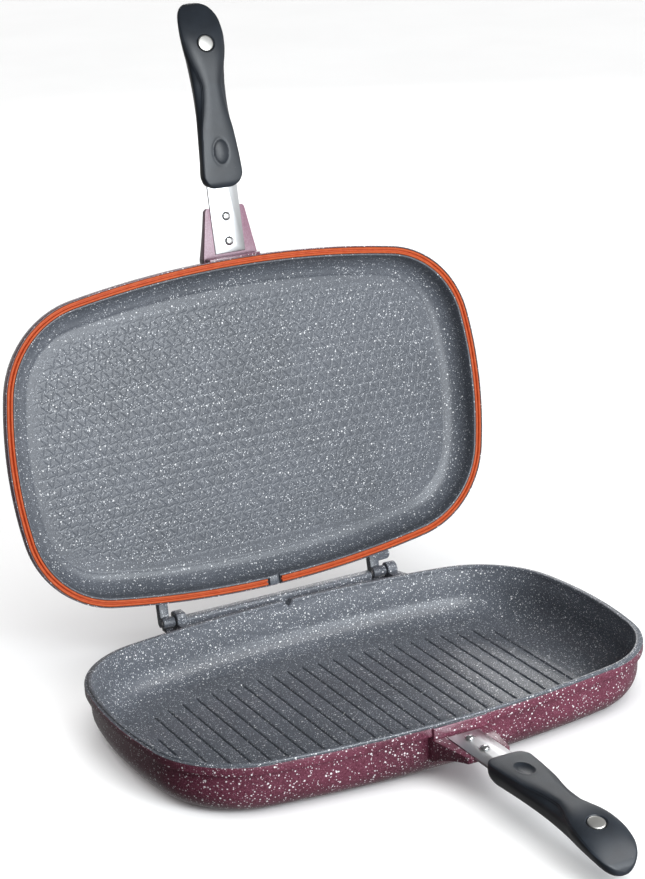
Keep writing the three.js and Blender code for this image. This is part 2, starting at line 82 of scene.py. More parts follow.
# ------------------------------------------------------------------- outline
def outline(inset, counts=(10, 24, 18)):
    """Closed outline of tangent arcs, moved inwards by inset, as (n, 2)."""
    c1 = np.array([0.0, HALF_DEPTH - LONG_R])
    c2 = np.array([HALF_LENGTH - SHORT_R, 0.0])
    d1, d2 = LONG_R - CORNER_R, SHORT_R - CORNER_R
    gap = c2 - c1
    dist = np.hypot(*gap)
    u = gap / dist
    along = (d1 * d1 - d2 * d2 + dist * dist) / (2 * dist)
    h = math.sqrt(d1 * d1 - along * along)
    p = c1 + u * along
    side = np.array([-u[1], u[0]])
    cc = max((p + side * h, p - side * h), key=lambda q: q.sum())
    al = math.atan2(cc[1] - c1[1], cc[0] - c1[0])
    be = math.atan2(cc[1] - c2[1], cc[0] - c2[0])
    q = []

    def arc(c, r, a0, a1, n, first):
        for i in range(first, n + 1):
            t = a0 + (a1 - a0) * i / n
            q.append((c[0] + r * math.cos(t), c[1] + r * math.sin(t)))

    arc(c2, SHORT_R - inset, 0, be, counts[0], 0)
    arc(cc, CORNER_R - inset, be, al, counts[1], 1)
    arc(c1, LONG_R - inset, al, math.pi / 2, counts[2], 1)
    n = len(q)
    full = list(q)
    full += [(-q[i][0], q[i][1]) for i in range(n - 2, -1, -1)]
    full += [(-q[i][0], -q[i][1]) for i in range(1, n)]
    full += [(q[i][0], -q[i][1]) for i in range(n - 2, 0, -1)]
    return np.array(full)


def inset_of(points):
    """Distance inwards from the outline, for points (n, 2) anywhere."""
    x, y = np.abs(points[:, 0]), np.abs(points[:, 1])
    c1 = np.array([0.0, HALF_DEPTH - LONG_R])
    c2 = np.array([HALF_LENGTH - SHORT_R, 0.0])
    d1, d2 = LONG_R - CORNER_R, SHORT_R - CORNER_R
    gap = c2 - c1
    dist = np.hypot(*gap)
    u = gap / dist
    along = (d1 * d1 - d2 * d2 + dist * dist) / (2 * dist)
    h = math.sqrt(d1 * d1 - along * along)
    p = c1 + u * along
    side = np.array([-u[1], u[0]])
    cc = max((p + side * h, p - side * h), key=lambda q: q.sum())
    al = math.atan2(cc[1] - c1[1], cc[0] - c1[0])
    be = math.atan2(cc[1] - c2[1], cc[0] - c2[0])
    a1 = np.arctan2(y - c1[1], x - c1[0])
    a2 = np.arctan2(y - c2[1], x - c2[0])
    g1 = LONG_R - np.hypot(x - c1[0], y - c1[1])
    g2 = SHORT_R - np.hypot(x - c2[0], y - c2[1])
    g3 = CORNER_R - np.hypot(x - cc[0], y - cc[1])
    return np.where(a1 >= al, g1, np.where(a2 <= be, g2, g3))


def fillet(cg, cz, rg, rz, a0, a1, n):
    return [(cg - rg * math.cos(math.radians(a0 + (a1 - a0) * i / n)),
             cz - rz * math.sin(math.radians(a0 + (a1 - a0) * i / n))) for i in range(n + 1)]


def opened(co):
    """Points of the shut upper half, (n, 3) in mm, turned open about the hinge."""
    co = np.array(co, float)
    y, z = co[:, 1] - HY, co[:, 2] - HZ
    c, s = math.cos(OPEN), math.sin(OPEN)
    co[:, 1], co[:, 2] = HY + y * c + z * s, HZ - y * s + z * c
    return co


def up_side(co):
    """Lower half's hardware mirrored on the parting plane."""
    co = np.array(co, float)
    co[:, 2] = 2 * P - co[:, 2]
    return co


# -------------------------------------------------------------------- meshes
def make(name, verts, faces, angle=30.0, flip=False):
    """Mesh object from mm vertices, smooth with sharp edges by angle."""
    me = bpy.data.meshes.new(name)
    v = np.asarray(verts, float) * MM
    me.from_pydata([tuple(p) for p in v], [], [tuple(reversed(f)) if flip else tuple(f) for f in faces])
    me.validate(clean_customdata=False)
    ob = bpy.data.objects.new(name, me)
    bpy.context.scene.collection.objects.link(ob)
    outward(ob)
    finish_shading(ob, angle)
    return ob


def outward(ob):
    bm = bmesh.new()
    bm.from_mesh(ob.data)
    bmesh.ops.recalc_face_normals(bm, faces=bm.faces)
    if bm.calc_volume(signed=True) < 0:
        bmesh.ops.reverse_faces(bm, faces=bm.faces)
    bm.to_mesh(ob.data)
    bm.free()


def finish_shading(ob, angle):
    me = ob.data
    me.polygons.foreach_set("use_smooth", np.ones(len(me.polygons), bool))
    me.set_sharp_from_angle(angle=math.radians(angle))
    me.update()


def loft_faces(n, rows, start=0):
    out = []
    for j in range(rows - 1):
        a, b = start + j * n, start + (j + 1) * n
        for i in range(n):
            k = (i + 1) % n
            out.append((a + i, a + k, b + k, b + i))
    return out


def apply_modifiers(ob):
    dg = bpy.context.evaluated_depsgraph_get()
    me = bpy.data.meshes.new_from_object(ob.evaluated_get(dg))
    ob.modifiers.clear()
    old = ob.data
    ob.data = me
    me.name = ob.name
    bpy.data.meshes.remove(old)


def bevel(ob, width, segments=2, angle=35.0):
    m = ob.modifiers.new("edge", "BEVEL")
    m.width, m.segments, m.limit_method = width * MM, segments, "ANGLE"
    m.angle_limit = math.radians(angle)
    m.use_clamp_overlap = True
    apply_modifiers(ob)
    return ob


def combine(ob, others, operation="UNION"):
    """One closed body from ob and others, which are used up."""
    for o in others:
        m = ob.modifiers.new("join", "BOOLEAN")
        m.solver, m.operation, m.object = "MANIFOLD", operation, o
        apply_modifiers(ob)
        me = o.data
        bpy.data.objects.remove(o)
        bpy.data.meshes.remove(me)
    return ob


def tidy(ob, dist=0.004):
    bm = bmesh.new()
    bm.from_mesh(ob.data)
    bmesh.ops.remove_doubles(bm, verts=bm.verts, dist=dist * MM)
    bmesh.ops.dissolve_degenerate(bm, edges=bm.edges, dist=0.001 * MM)
    loose = [v for v in bm.verts if not v.link_faces]
    bmesh.ops.delete(bm, geom=loose, context="VERTS")
    bm.to_mesh(ob.data)
    bm.free()


def prism(name, points, lo, hi, axis="x"):
    """Closed prism: points are (y, z) pulled along x, (x, z) along y or (x, y) along z."""
    n = len(points)
    verts = []
    for w in (lo, hi):
        for a, b in points:
            verts.append({"x": (w, a, b), "y": (a, w, b), "z": (a, b, w)}[axis])
    faces = [tuple(range(n - 1, -1, -1)), tuple(range(n, 2 * n))]
    faces += [(i, (i + 1) % n, n + (i + 1) % n, n + i) for i in range(n)]
    return make(name, verts, faces)


def block(name, x0, x1, y0, y1, z0, z1):
    return prism(name, [(x0, y0), (x1, y0), (x1, y1), (x0, y1)], z0, z1, "z")


def arc_points(cy, cz, r, a0, a1, n):
    return [(cy + r * math.cos(math.radians(a0 + (a1 - a0) * i / n)),
             cz + r * math.sin(math.radians(a0 + (a1 - a0) * i / n))) for i in range(n + 1)]


def turned_data(profile, sides=48):
    """Vertices and faces of a turned body on +Z; the profile starts and ends on the axis."""
    verts = [(0.0, 0.0, profile[0][1])]
    inner = profile[1:-1]
    for r, z in inner:
        for i in range(sides):
            t = 2 * math.pi * i / sides
            verts.append((r * math.cos(t), r * math.sin(t), z))
    verts.append((0.0, 0.0, profile[-1][1]))
    faces = [(0, 1 + (i + 1) % sides, 1 + i) for i in range(sides)]
    faces += loft_faces(sides, len(inner), 1)
    last = len(verts) - 1
    base = 1 + (len(inner) - 1) * sides
    faces += [(last, base + i, base + (i + 1) % sides) for i in range(sides)]
    return np.array(verts), faces


def turned(name, profile, place=None, sides=48, angle=30.0, half="lower"):
    v, f = turned_data(profile, sides)
    if place is not None:
        v = place(v)
    if half == "upper":
        v = opened(up_side(v))
    return make(name, v, f, angle)


def shift(x, y, z, tilt=0.0):
    c, s = math.cos(tilt), math.sin(tilt)

    def go(v):
        v = np.array(v, float)
        yy, zz = v[:, 1] * c - v[:, 2] * s, v[:, 1] * s + v[:, 2] * c
        v[:, 1], v[:, 2] = yy + y, zz + z
        v[:, 0] += x
        return v

    return go


def rod(name, radius, x0, x1, sides=40, chamfer=0.35):
    """Pin along the hinge with chamfered ends."""
    v, f = turned_data([(0, x0), (radius - chamfer, x0), (radius, x0 + chamfer),
                        (radius, x1 - chamfer), (radius - chamfer, x1), (0, x1)], sides)
    v = np.column_stack([v[:, 2], v[:, 0] + HY, v[:, 1] + HZ])
    return make(name, v, f)


def catmull(xs, ys, at):
    """Smooth interpolation without overshoot (monotone cubic)."""
    xs, ys, at = np.array(xs, float), np.array(ys, float), np.array(at, float)
    if xs[0] > xs[-1]:
        xs, ys = xs[::-1], ys[::-1]
    h = np.diff(xs)
    d = np.diff(ys) / h
    m = np.zeros(len(xs))
    m[0], m[-1] = d[0], d[-1]
    for i in range(1, len(xs) - 1):
        if d[i - 1] * d[i] > 0:
            w1, w2 = 2 * h[i] + h[i - 1], h[i] + 2 * h[i - 1]
            m[i] = (w1 + w2) / (w1 / d[i - 1] + w2 / d[i])
    i = np.clip(np.searchsorted(xs, at) - 1, 0, len(h) - 1)
    t = (at - xs[i]) / h[i]
    return ((1 + 2 * t) * (1 - t) ** 2 * ys[i] + t * (1 - t) ** 2 * h[i] * m[i]
            + t * t * (3 - 2 * t) * ys[i + 1] + t * t * (t - 1) * h[i] * m[i + 1])


def smooth(t):
    t = np.clip(t, 0.0, 1.0)
    return t * t * (3 - 2 * t)


def fringe(ring_xy, inner_xy, inner_edges):
    """Triangles that fill the strip between the ring and the staircase edge of a grid.

    Indices below len(ring_xy) are ring points; the rest are inner points. The
    triangles are walked to from the ring, never across the grid's own edge."""
    n = len(ring_xy)
    pts = [Vector((float(x), float(y))) for x, y in np.vstack([ring_xy, inner_xy])]
    edges = [(i, (i + 1) % n) for i in range(n)] + [(n + a, n + b) for a, b in inner_edges]
    out = delaunay_2d_cdt(pts, edges, [], 1, 1e-7)
    faces, orig = out[2], out[3]
    if len(orig) != len(pts) or any(len(o) != 1 for o in orig):
        raise RuntimeError("floor fringe points were merged")
    back = [o[0] for o in orig]
    tri = [tuple(back[i] for i in f) for f in faces]
    fixed = {tuple(sorted(e)) for e in edges}
    sides = {}
    for k, f in enumerate(tri):
        for i in range(3):
            sides.setdefault(tuple(sorted((f[i], f[(i + 1) % 3]))), []).append(k)
    todo = [k for k, f in enumerate(tri) if min(f) < n]
    seen = set(todo)
    while todo:
        f = tri[todo.pop()]
        for i in range(3):
            e = tuple(sorted((f[i], f[(i + 1) % 3])))
            if e in fixed:
                continue
            for k in sides[e]:
                if k not in seen:
                    seen.add(k)
                    todo.append(k)
    return [tri[k] for k in sorted(seen)]


def boundary_edges(faces):
    seen = {}
    for f in faces:
        for i in range(len(f)):
            a, b = f[i], f[(i + 1) % len(f)]
            key = (a, b) if a < b else (b, a)
            seen[key] = seen.get(key, 0) + 1
    return [k for k, c in seen.items() if c == 1]


def floor_from_grid(ring_xy, ring_start, grid_xy, grid_z, grid_faces, offset):
    """Grid faces plus the fringe that joins them to the ring already in the mesh.

    Returns extra vertices (used grid points) and faces with final indices."""
    used = np.unique(np.array([i for f in grid_faces for i in f]))
    remap = -np.ones(len(grid_xy), int)
    remap[used] = np.arange(len(used)) + offset
    faces = [tuple(int(remap[i]) for i in f) for f in grid_faces]
    be = boundary_edges(grid_faces)
    rim = sorted({i for e in be for i in e})
    local = {g: k for k, g in enumerate(rim)}
    n = len(ring_xy)
    for f in fringe(ring_xy, grid_xy[rim], [(local[a], local[b]) for a, b in be]):
        faces.append(tuple(ring_start + i if i < n else int(remap[rim[i - n]]) for i in f))
    verts = np.column_stack([grid_xy[used], grid_z[used]])
    return verts, faces


# ------------------------------------------------------------ lower pan mesh
def reach(x):
    """Half length of the groove at x."""
    field = outline(RIB_INSET, (3, 8, 5))
    best = 0.0
    for i in range(len(field)):
        (ax, ay), (bx, by) = field[i], field[(i + 1) % len(field)]
        if (ax - x) * (bx - x) <= 0 and ax != bx:
            best = max(best, ay + (by - ay) * (x - ax) / (bx - ax))
    return best


def lower_floor_grid(inset):
    cols = []
    centres = [GROOVE_FIRST + GROOVE_PITCH * k for k in range(GROOVES)]
    for c in centres:
        cols += [c + d for d in (-4.9, -3.3, -2.1, -1.5, -1.2, -0.95, -0.7, -0.35, 0, 0.35, 0.7, 0.95, 1.2, 1.5, 2.1,
                                 3.3, 4.9)]
        cols.append(c + GROOVE_PITCH / 2)
    cols.append(centres[0] - GROOVE_PITCH / 2)
    cols += [centres[0] - GROOVE_PITCH / 2 - 3.5 * k for k in range(1, 6)]
    cols += [centres[-1] + GROOVE_PITCH / 2 + 3.5 * k for k in range(1, 6)]
    xs = np.array(sorted(cols))
    ys = np.arange(-105.3, 105.4, 0.9)
    gx, gy = np.meshgrid(xs, ys)
    xy = np.column_stack([gx.ravel(), gy.ravel()])
    z = np.full(len(xy), 4.0)
    crown = np.zeros(len(xy))
    for c in centres:
        half = reach(c) - 1.0
        near = np.abs(xy[:, 0] - c) < GROOVE_PITCH / 2 + 0.01
        dx = xy[near, 0] - c
        dy = np.maximum(np.abs(xy[near, 1]) - half, 0)
        d = np.hypot(dx, dy)
        cut = smooth((1.1 - d) / 0.8)
        z[near] -= 1.15 * cut
        u = np.clip(np.abs(dx) / (GROOVE_PITCH / 2), 0, 1)
        fade = smooth((half + 3 - np.abs(xy[near, 1])) / 9.0)
        crown[near] = np.maximum(crown[near], 0.34 * (1 - (1 - u) ** 2) * fade)
        # the band's edge rolls over into the groove
    z += np.where(z > 3.9, crown - 0.0, crown * 0.4)
    ok = inset_of(xy) > inset + 1.6
    nx = len(xs)
    faces = []
    okg = ok.reshape(gx.shape)
    q = okg[:-1, :-1] & okg[1:, :-1] & okg[:-1, 1:] & okg[1:, 1:]
    for j, i in zip(*np.nonzero(q)):
        a = j * nx + i
        faces.append((a, a + 1, a + nx + 1, a + nx))

    return xy, z, faces


def lower_bowl():
    stations = [(35.8, 0.5), (34.8, 0.42), (33.8, 0.12), (33.0, 0.0)]
    stations += fillet(26, 22, 22, 22, 90, 0, 14)
    stations += [(3.9, 31.0), (3.75, 33.9), (3.5, 34.2), (0.5, 34.55), (0.12, 34.75), (0, 35.2), (0, 37.2),
                 (0, 40.2), (0.12, 40.65), (0.45, 40.93), (0.9, 41.0), (2.2, 41.0), (2.45, 41.12), (2.6, 41.45),
                 (2.75, 41.82), (3.1, 42.0), (3.8, 42.0), (4.6, 41.98), (5.05, 41.86), (5.35, 41.6), (5.5, 41.2),
                 (5.6, 39.4), (5.56, 39.15), (5.1, 38.95), (5.14, 38.6), (6.3, 34.0), (7.2, 28.0)]
    stations += fillet(26.5, 22.5, 18.5, 18.5, 0, 90, 16)
    rings = [outline(g) for g, z in stations]
    n = len(rings[0])
    verts = np.vstack([np.column_stack([r, np.full(n, z)]) for r, (g, z) in zip(rings, stations)])
    faces = loft_faces(n, len(stations))
    # base panel
    c = len(verts)
    verts = np.vstack([verts, [[0, 0, 0.5]]])
    faces += [(c, (i + 1) % n, i) for i in range(n)]
    # floor
    xy, z, gf = lower_floor_grid(26.5)
    start = (len(stations) - 1) * n
    ev, ef = floor_from_grid(rings[-1], start, xy, z, gf, len(verts))
    verts = np.vstack([verts, ev])
    faces += ef
    return make("lower_pan_cast", verts, faces)


def bracket(name, root, mid, deep):
    """Cast bracket under the shank; the recess for the shank is cut separately by bracket_cuts."""
    plan = [(-22.3, root), (-22.3, -128.5), (-16.4, -163.6), (-14.8, -165.4),
            (14.8, -165.4), (16.4, -163.6), (22.3, -128.5), (22.3, root)]
    side = [(root, P - 8.9), (-165.4, P - 8.9), (-165.4, P - 12.6), (-163.8, P - 13.4)]
    # hollow curve of the underside, from the toe down to the wall
    for i in range(1, 9):
        t = i / 8
        y = -163.8 + (163.8 - 127) * t
        z = (P - 13.4) * (1 - t) ** 2 + 2 * (P - mid + 1.5) * t * (1 - t) + (P - deep) * t * t
        side.append((y, z))
    side.append((root, P - deep))
    a = prism(name, plan, 0, P, "z")
    b = prism(name + "_side", side, -30, 30, "x")
    combine(a, [b], "INTERSECT")
    tidy(a)
    bevel(a, 0.9, 3, 30)
    return a


def bracket_cuts(tag):
    c = block(tag + "_slot", -SHANK_HALF - 0.3, SHANK_HALF + 0.3, -170, -130.5,
              P - SHANK_DROP - SHANK_THICK - 0.3, P - 4.0)
    out = [c]
    for k, y in enumerate(RIVET_Y):
        out.append(turned(tag + "_hole%d" % k, [(0, 0), (2.25, 0), (2.25, 12), (0, 12)], shift(0, y, P - 20)))
        out.append(turned(tag + "_seat%d" % k, [(0, 0), (4.8, 0), (4.4, 4), (4.4, 16.4), (0, 16.4)],
                          shift(0, y, P - 30)))
    return out


def pad(name, reach_y=-128.5):
    """Thickening of the rim band above the bracket."""
    o = block(name, -21.3, 21.3, reach_y, -125.2, P - 9.2, P - 1)
    bevel(o, 0.7, 3)
    return o


def build_lower_pan():
    pan = lower_bowl()
    parts = []
    rail = prism("rail", [(129.5, P - 8.5), (138.3, P - 8.5), (138.3, P + 0.4), (137.0, P + 1.9),
                          (130.9, P + 1.9), (129.5, P + 0.5)], KNUCKLE_L[1] - 1, 79)
    bevel(rail, 0.5, 3)
    parts.append(rail)
    parts.append(block("web", KNUCKLE_L[0] + 0.5, 78.5, 121.6, 131, P - 7.5, P - 3.5))
    left = prism("knuckle_left", [(129.3, P - 7), (129.3, P + 3.6), (131.3, P + 6.1), (139.3, P + 6.1),
                                  (141.5, P + 4), (141.5, P - 7)], *KNUCKLE_L)
    bevel(left, 0.6, 3)
    parts.append(left)
    right = prism("knuckle_right", arc_points(HY, HZ, 5.8, 0, 352.5, 47), *KNUCKLE_R)
    bevel(right, 0.9, 4, 50)
    parts.append(right)
    for tag, (x0, x1), y0 in (("l", KNUCKLE_L, 119.6), ("r", KNUCKLE_R, 118.2)):
        foot = block("foot_" + tag, x0, x1, y0, 136, P - 7.4, P - 1.5)
        bevel(foot, 0.6, 2)
        parts.append(foot)
    # cheek that runs from the round knuckle down to the rim
    cheek = prism("cheek", [(96, 121), (101.5, 119.9), (106.6, 119.4), (104.0, 127.0), (102.2, 131.5), (96, 131.5)],
                  P - 7.0, P - 1.4, "z")
    bevel(cheek, 0.8, 2)
    parts.append(cheek)
    ledge_l = block("ledge_left", -96, KNUCKLE_L[1], HY + 1, HY + 9, HZ - 9.5, HZ - 5.6)
    ledge_r = block("ledge_right", 84, KNUCKLE_R[1], HY + 1, HY + 9, HZ - 9.5, HZ - 5.6)
    bevel(ledge_l, 0.5, 2)
    bevel(ledge_r, 0.5, 2)
    parts += [ledge_l, ledge_r]
    parts.append(block("ledge_web", 74, 86, HY - 2, HY + 8.4, HZ - 9.3, HZ - 7.1))
    parts.append(bracket("bracket_low", -121.6, 18, 25.5))
    parts.append(pad("pad_low"))
    combine(pan, parts)
    cuts = [rod("bore_l", 1.95, KNUCKLE_L[0] - 1, -82.3, chamfer=0.01),
            rod("bore_r", 1.95, KNUCKLE_R[0] - 1, 104, chamfer=0.01)]
    # steam notch, flared towards the inside
    notch = np.array([(-4.7, P + 3), (-4.4, P + 0.02), (0.4, P - 4.9), (0.9, P - 5.1), (1.4, P - 4.9), (4.6, P + 0.02),
                      (4.9, P + 3)])
    wide = notch + np.array([(-1.5, 0.6), (-1.5, -0.1), (-0.6, -0.9), (0, -1.1), (0.6, -0.9), (1.2, -0.1), (1.2, 0.6)])
    sections = ((116.2, wide), (121.0, wide), (122.4, notch), (129.2, notch))
    v = [(x, y, z) for y, sec in sections for x, z in sec]
    m = len(notch)
    f = loft_faces(m, len(sections)) + [tuple(range(m - 1, -1, -1)), tuple(range(3 * m, 4 * m))]
    cuts.append(make("notch", v, f))
    cuts += bracket_cuts("low")
    combine(pan, cuts, "DIFFERENCE")
    tidy(pan)
    return pan


# ------------------------------------------------------------ upper pan mesh
CELL = (8.9, 7.95)            # pitch along a row, and between rows, of the floor's pattern
CELL_ORIGIN = (-153.5, 21.5)
STEPS = 14                    # mesh steps on one pattern edge


def upper_floor_grid(inset):
    """Triangle lattice whose edges are S-shaped grooves: a plain lattice, turned round each node."""
    a, b = CELL[0] / STEPS, CELL[1] / STEPS
    j0, j1 = int(-110 / b), int(110 / b)
    rows = np.arange(j0, j1 + 1)
    idx = {}
    js, is_ = [], []
    for j in rows:
        # every row is shifted by half a step for each row
        lo, hi = int(-190 / a - j / 2), int(190 / a - j / 2)
        r = np.arange(lo, hi + 1)
        js.append(np.full(len(r), j))
        is_.append(r)
    jj, ii = np.concatenate(js), np.concatenate(is_)
    ox = CELL_ORIGIN[0] % CELL[0]
    oy = CELL_ORIGIN[1] % CELL[1]
    x = (ii + jj / 2) * a
    y = jj * b
    # lattice distances to the three families of lines, in steps
    d1 = np.abs((jj + STEPS / 2) % STEPS - STEPS / 2)
    d2 = np.abs((ii + STEPS / 2) % STEPS - STEPS / 2)
    d3 = np.abs((ii + jj + STEPS / 2) % STEPS - STEPS / 2)
    d = np.minimum(np.minimum(d1, d2), d3)
    prof = np.interp(d, [0, 1, 2, 3, 4.6], [1.0, 0.12, 0.0, 0.0, 0.0])
    # twirl about the nearest node
    px, py = CELL
    row = np.round(y / py)
    nx = (np.round((x - row * px / 2) / px) * px) + row * px / 2
    best = np.full(len(x), 1e9)
    cx, cy = np.zeros(len(x)), np.zeros(len(x))
    for dr in (-1, 0, 1):
        r = row + dr
        k = np.round((x - r * px / 2) / px)
        qx, qy = k * px + r * px / 2, r * py
        dd = np.hypot(x - qx, y - qy)
        m = dd < best
        best[m], cx[m], cy[m] = dd[m], qx[m], qy[m]
    t = np.clip(best / (px / 2), 0, 1)
    ang = 0.62 * (1 - smooth(t)) * 1.0
    dx, dy = x - cx, y - cy
    ca, sa = np.cos(ang), np.sin(ang)
    x2, y2 = cx + dx * ca - dy * sa, cy + dx * sa + dy * ca
    x2, y2 = x2 + ox, y2 + oy
    xy = np.column_stack([x2, y2])
    g = inset_of(xy)
    fade = smooth((g - 26.0) / 9.0)
    dome = 0.04 * np.clip(d / (STEPS / 3), 0, 1)
    z = P + 22.0 + (0.17 * prof - dome) * fade
    ok = g > inset + 1.5
    key = {}
    for n, (i, j) in enumerate(zip(ii, jj)):
        key[(int(i), int(j))] = n
    faces = []
    for n in np.nonzero(ok)[0]:
        i, j = int(ii[n]), int(jj[n])
        a1, b1, c1 = key.get((i + 1, j)), key.get((i, j + 1)), key.get((i + 1, j + 1))
        if a1 is None or b1 is None:
            continue
        if ok[a1] and ok[b1]:
            faces.append((n, a1, b1))
        if c1 is not None and ok[a1] and ok[b1] and ok[c1]:
            faces.append((a1, c1, b1))
    return xy, z, faces


def upper_bowl():
    top = P + UPPER
    stations = [(31.8, top - 0.5), (30.8, top - 0.42), (29.8, top - 0.12), (29.0, top)]
    stations += [(g, 2 * (top - 18) - z) for g, z in fillet(22, top - 18, 18, 18, 90, 0, 14)]
    stations += [(3.5, P + 7.95), (3.1, P + 7.5), (0.6, P + 7.05), (0.18, P + 6.85), (0, P + 6.4), (0, P + 4.0),
                 (0, P + 0.95), (0.08, P + 0.6), (0.3, P + 0.4), (0.62, P + 0.4), (0.82, P + 0.55), (0.9, P + 0.9),
                 (0.9, P + 3.5), (6.05, P + 3.5), (6.05, P + 0.95), (6.15, P + 0.62), (6.4, P + 0.5),
                 (6.95, P + 0.5), (7.3, P + 0.65), (7.5, P + 1.1), (7.75, P + 4.2)]
    stations += [(g, z) for g, z in fillet(25, P + 7.5, 17, -14.5, 0, 66, 12)]
    (g0, z0), (g1, z1) = stations[-1], (22.4, P + 21.55)
    stations += [(g0 + (g1 - g0) * t, z0 + (z1 - z0) * t) for t in (0.35, 0.7, 1.0)]
    stations += [(22.9, P + 21.8), (23.4, P + 21.93), (24.0, P + 21.99), (25.0, P + 22.0)]
    rings = [outline(g) for g, z in stations]
    n = len(rings[0])
    verts = np.vstack([np.column_stack([r, np.full(n, z)]) for r, (g, z) in zip(rings, stations)])
    faces = loft_faces(n, len(stations))
    c = len(verts)
    verts = np.vstack([verts, [[0, 0, top - 0.5]]])
    faces += [(c, (i + 1) % n, i) for i in range(n)]
    xy, z, gf = upper_floor_grid(25.0)
    start = (len(stations) - 1) * n
    ev, ef = floor_from_grid(rings[-1], start, xy, z, gf, len(verts))
    verts = np.vstack([verts, ev])
    faces += ef
    return make("upper_pan_cast", verts, faces)


def build_upper_pan():
    pan = upper_bowl()
    parts = []

    def lug(tag, x0, x1, lip):
        pts = [(lip, P + 1.0), (HY - 4.3, P + 1.0)]
        pts += arc_points(HY, HZ, BARREL, 160, 390, 24)
        pts += [(HY + 4.2, HZ + 5.6), (HY + 3.2, HZ + 6.8), (HY + 1.4, HZ + 8.2), (HY - 16.2, HZ + 8.2),
                (HY - 16.2, P + 3.8), (lip, P + 3.8)]
        o = prism("lug_" + tag, pts, x0, x1)
        bevel(o, 0.45, 2, 40)
        return o

    def barrel(tag, x0, x1):
        o = prism("barrel_" + tag, arc_points(HY, HZ, BARREL, 0, 350, 35), x0, x1)
        bevel(o, 0.5, 3, 50)
        return o

    parts.append(lug("l", BARREL_L[0], BARREL_L[0] + 7.2, 120.2))
    parts.append(barrel("l", *BARREL_L))
    parts.append(lug("r", BARREL_R[0] + 0.2, BARREL_R[0] + 7.9, 121.2))
    parts.append(barrel("r", *BARREL_R))
    stub = [(88, 119.5), (96, 119.5)]
    stub += [(96.9 + 3.7 * math.cos(math.radians(t)), 123.6 + 3.9 * math.sin(math.radians(t)))
             for t in range(-75, 91, 15)]
    stub += [(88, 127.8)]
    s = prism("stub", stub, P + 0.9, P + 5.2, "z")
    bevel(s, 0.5, 2, 40)
    parts.append(s)
    b = bracket("bracket_up", -120.6, 15.2, 17.5)
    mirror_z(b)
    parts.append(b)
    q = pad("pad_up")
    mirror_z(q)
    parts.append(q)
    combine(pan, parts)
    cuts = [rod("bore_ul", 1.95, BARREL_L[0] - 1, BARREL_L[1] + 1, chamfer=0.01),
            rod("bore_ur", 1.95, BARREL_R[0] - 0.6, BARREL_R[1] + 1, chamfer=0.01)]
    for o in bracket_cuts("up"):
        mirror_z(o)
        cuts.append(o)
    # seal channel, cleared again behind the lugs and the bracket
    n = len(outline(0))
    ch = np.vstack([np.column_stack([outline(g), np.full(n, z)]) for g, z in
                    ((0.9, P - 2), (0.9, P + 3.5), (6.05, P + 3.5), (6.05, P - 2))])
    f = loft_faces(n, 4)
    f += [(3 * n + i, 3 * n + (i + 1) % n, (i + 1) % n, i) for i in range(n)]
    cuts.append(make("channel", ch, f))
    combine(pan, cuts, "DIFFERENCE")
    vent = block("vent", VENT[0] + 1.8, VENT[1] - 1.5, 119.3, 126.35, P + 0.35, P + 5)
    bevel(vent, 0.25, 2)
    combine(pan, [vent])
    combine(pan, [block("vent_slot", 0.2, 3.1, 112, 130, P - 1, P + 2.6)], "DIFFERENCE")
    tidy(pan)
    turn_open(pan)
    return pan


def mirror_z(ob):
    co = np.zeros(len(ob.data.vertices) * 3, np.float32)
    ob.data.vertices.foreach_get("co", co)
    co = co.reshape(-1, 3)
    co[:, 2] = 2 * P * MM - co[:, 2]
    ob.data.vertices.foreach_set("co", co.ravel())
    ob.data.flip_normals()
    ob.data.update()


def turn_open(ob):
    m = (Matrix.Translation((0, HY * MM, HZ * MM)) @ Matrix.Rotation(-OPEN, 4, "X")
         @ Matrix.Translation((0, -HY * MM, -HZ * MM)))
    ob.data.transform(m)
    ob.data.update()


def closed_coords(co):
    """mm coordinates of an opened mesh, turned shut again."""
    co = np.array(co, float) / MM
    y, z = co[:, 1] - HY, co[:, 2] - HZ
    c, s = math.cos(OPEN), math.sin(OPEN)
    out = co.copy()
    out[:, 1], out[:, 2] = HY + y * c - z * s, HZ + y * s + z * c
    return out


# ---------------------------------------------------------------------- seal
def build_seal():
    gi, go = 5.85, 1.05
    prof = []
    # outer ridge, groove, inner ridge
    for u, h in ((0.0, 3.2), (0.0, 1.1), (0.03, 0.72), (0.10, 0.42), (0.20, 0.3), (0.31, 0.4), (0.38, 0.75),
                 (0.41, 2.4), (0.59, 2.4), (0.62, 0.75), (0.69, 0.4), (0.80, 0.3), (0.90, 0.42), (0.97, 0.72),
                 (1.0, 1.1), (1.0, 3.2)):
        prof.append((go + (gi - go) * u, P + h))
    rings = [outline(g) for g, _ in prof]
    n = len(rings[0])
    back = n // 4
    m = len(prof)

    def at(x):
        return [(x, HALF_DEPTH - LONG_R + math.sqrt((LONG_R - g) ** 2 - x * x), z) for g, z in prof]

    loops = [at(VENT[0])]
    for s in range(1, n):
        k = (back + s) % n
        x = rings[0][k][0]
        if rings[0][k][1] > 0 and (VENT[0] - 2.5 < x < VENT[1] + 2.5):
            continue
        loops.append([(rings[i][k][0], rings[i][k][1], prof[i][1]) for i in range(m)])
    loops.append(at(VENT[1]))
    verts = np.array([v for l in loops for v in l])
    faces = []
    for j in range(len(loops) - 1):
        for i in range(m):
            k = (i + 1) % m
            faces.append((j * m + i, j * m + k, (j + 1) * m + k, (j + 1) * m + i))
    faces.append(tuple(range(m - 1, -1, -1)))
    faces.append(tuple((len(loops) - 1) * m + i for i in range(m)))
    return make("seal_strip", opened(verts), faces, 50)


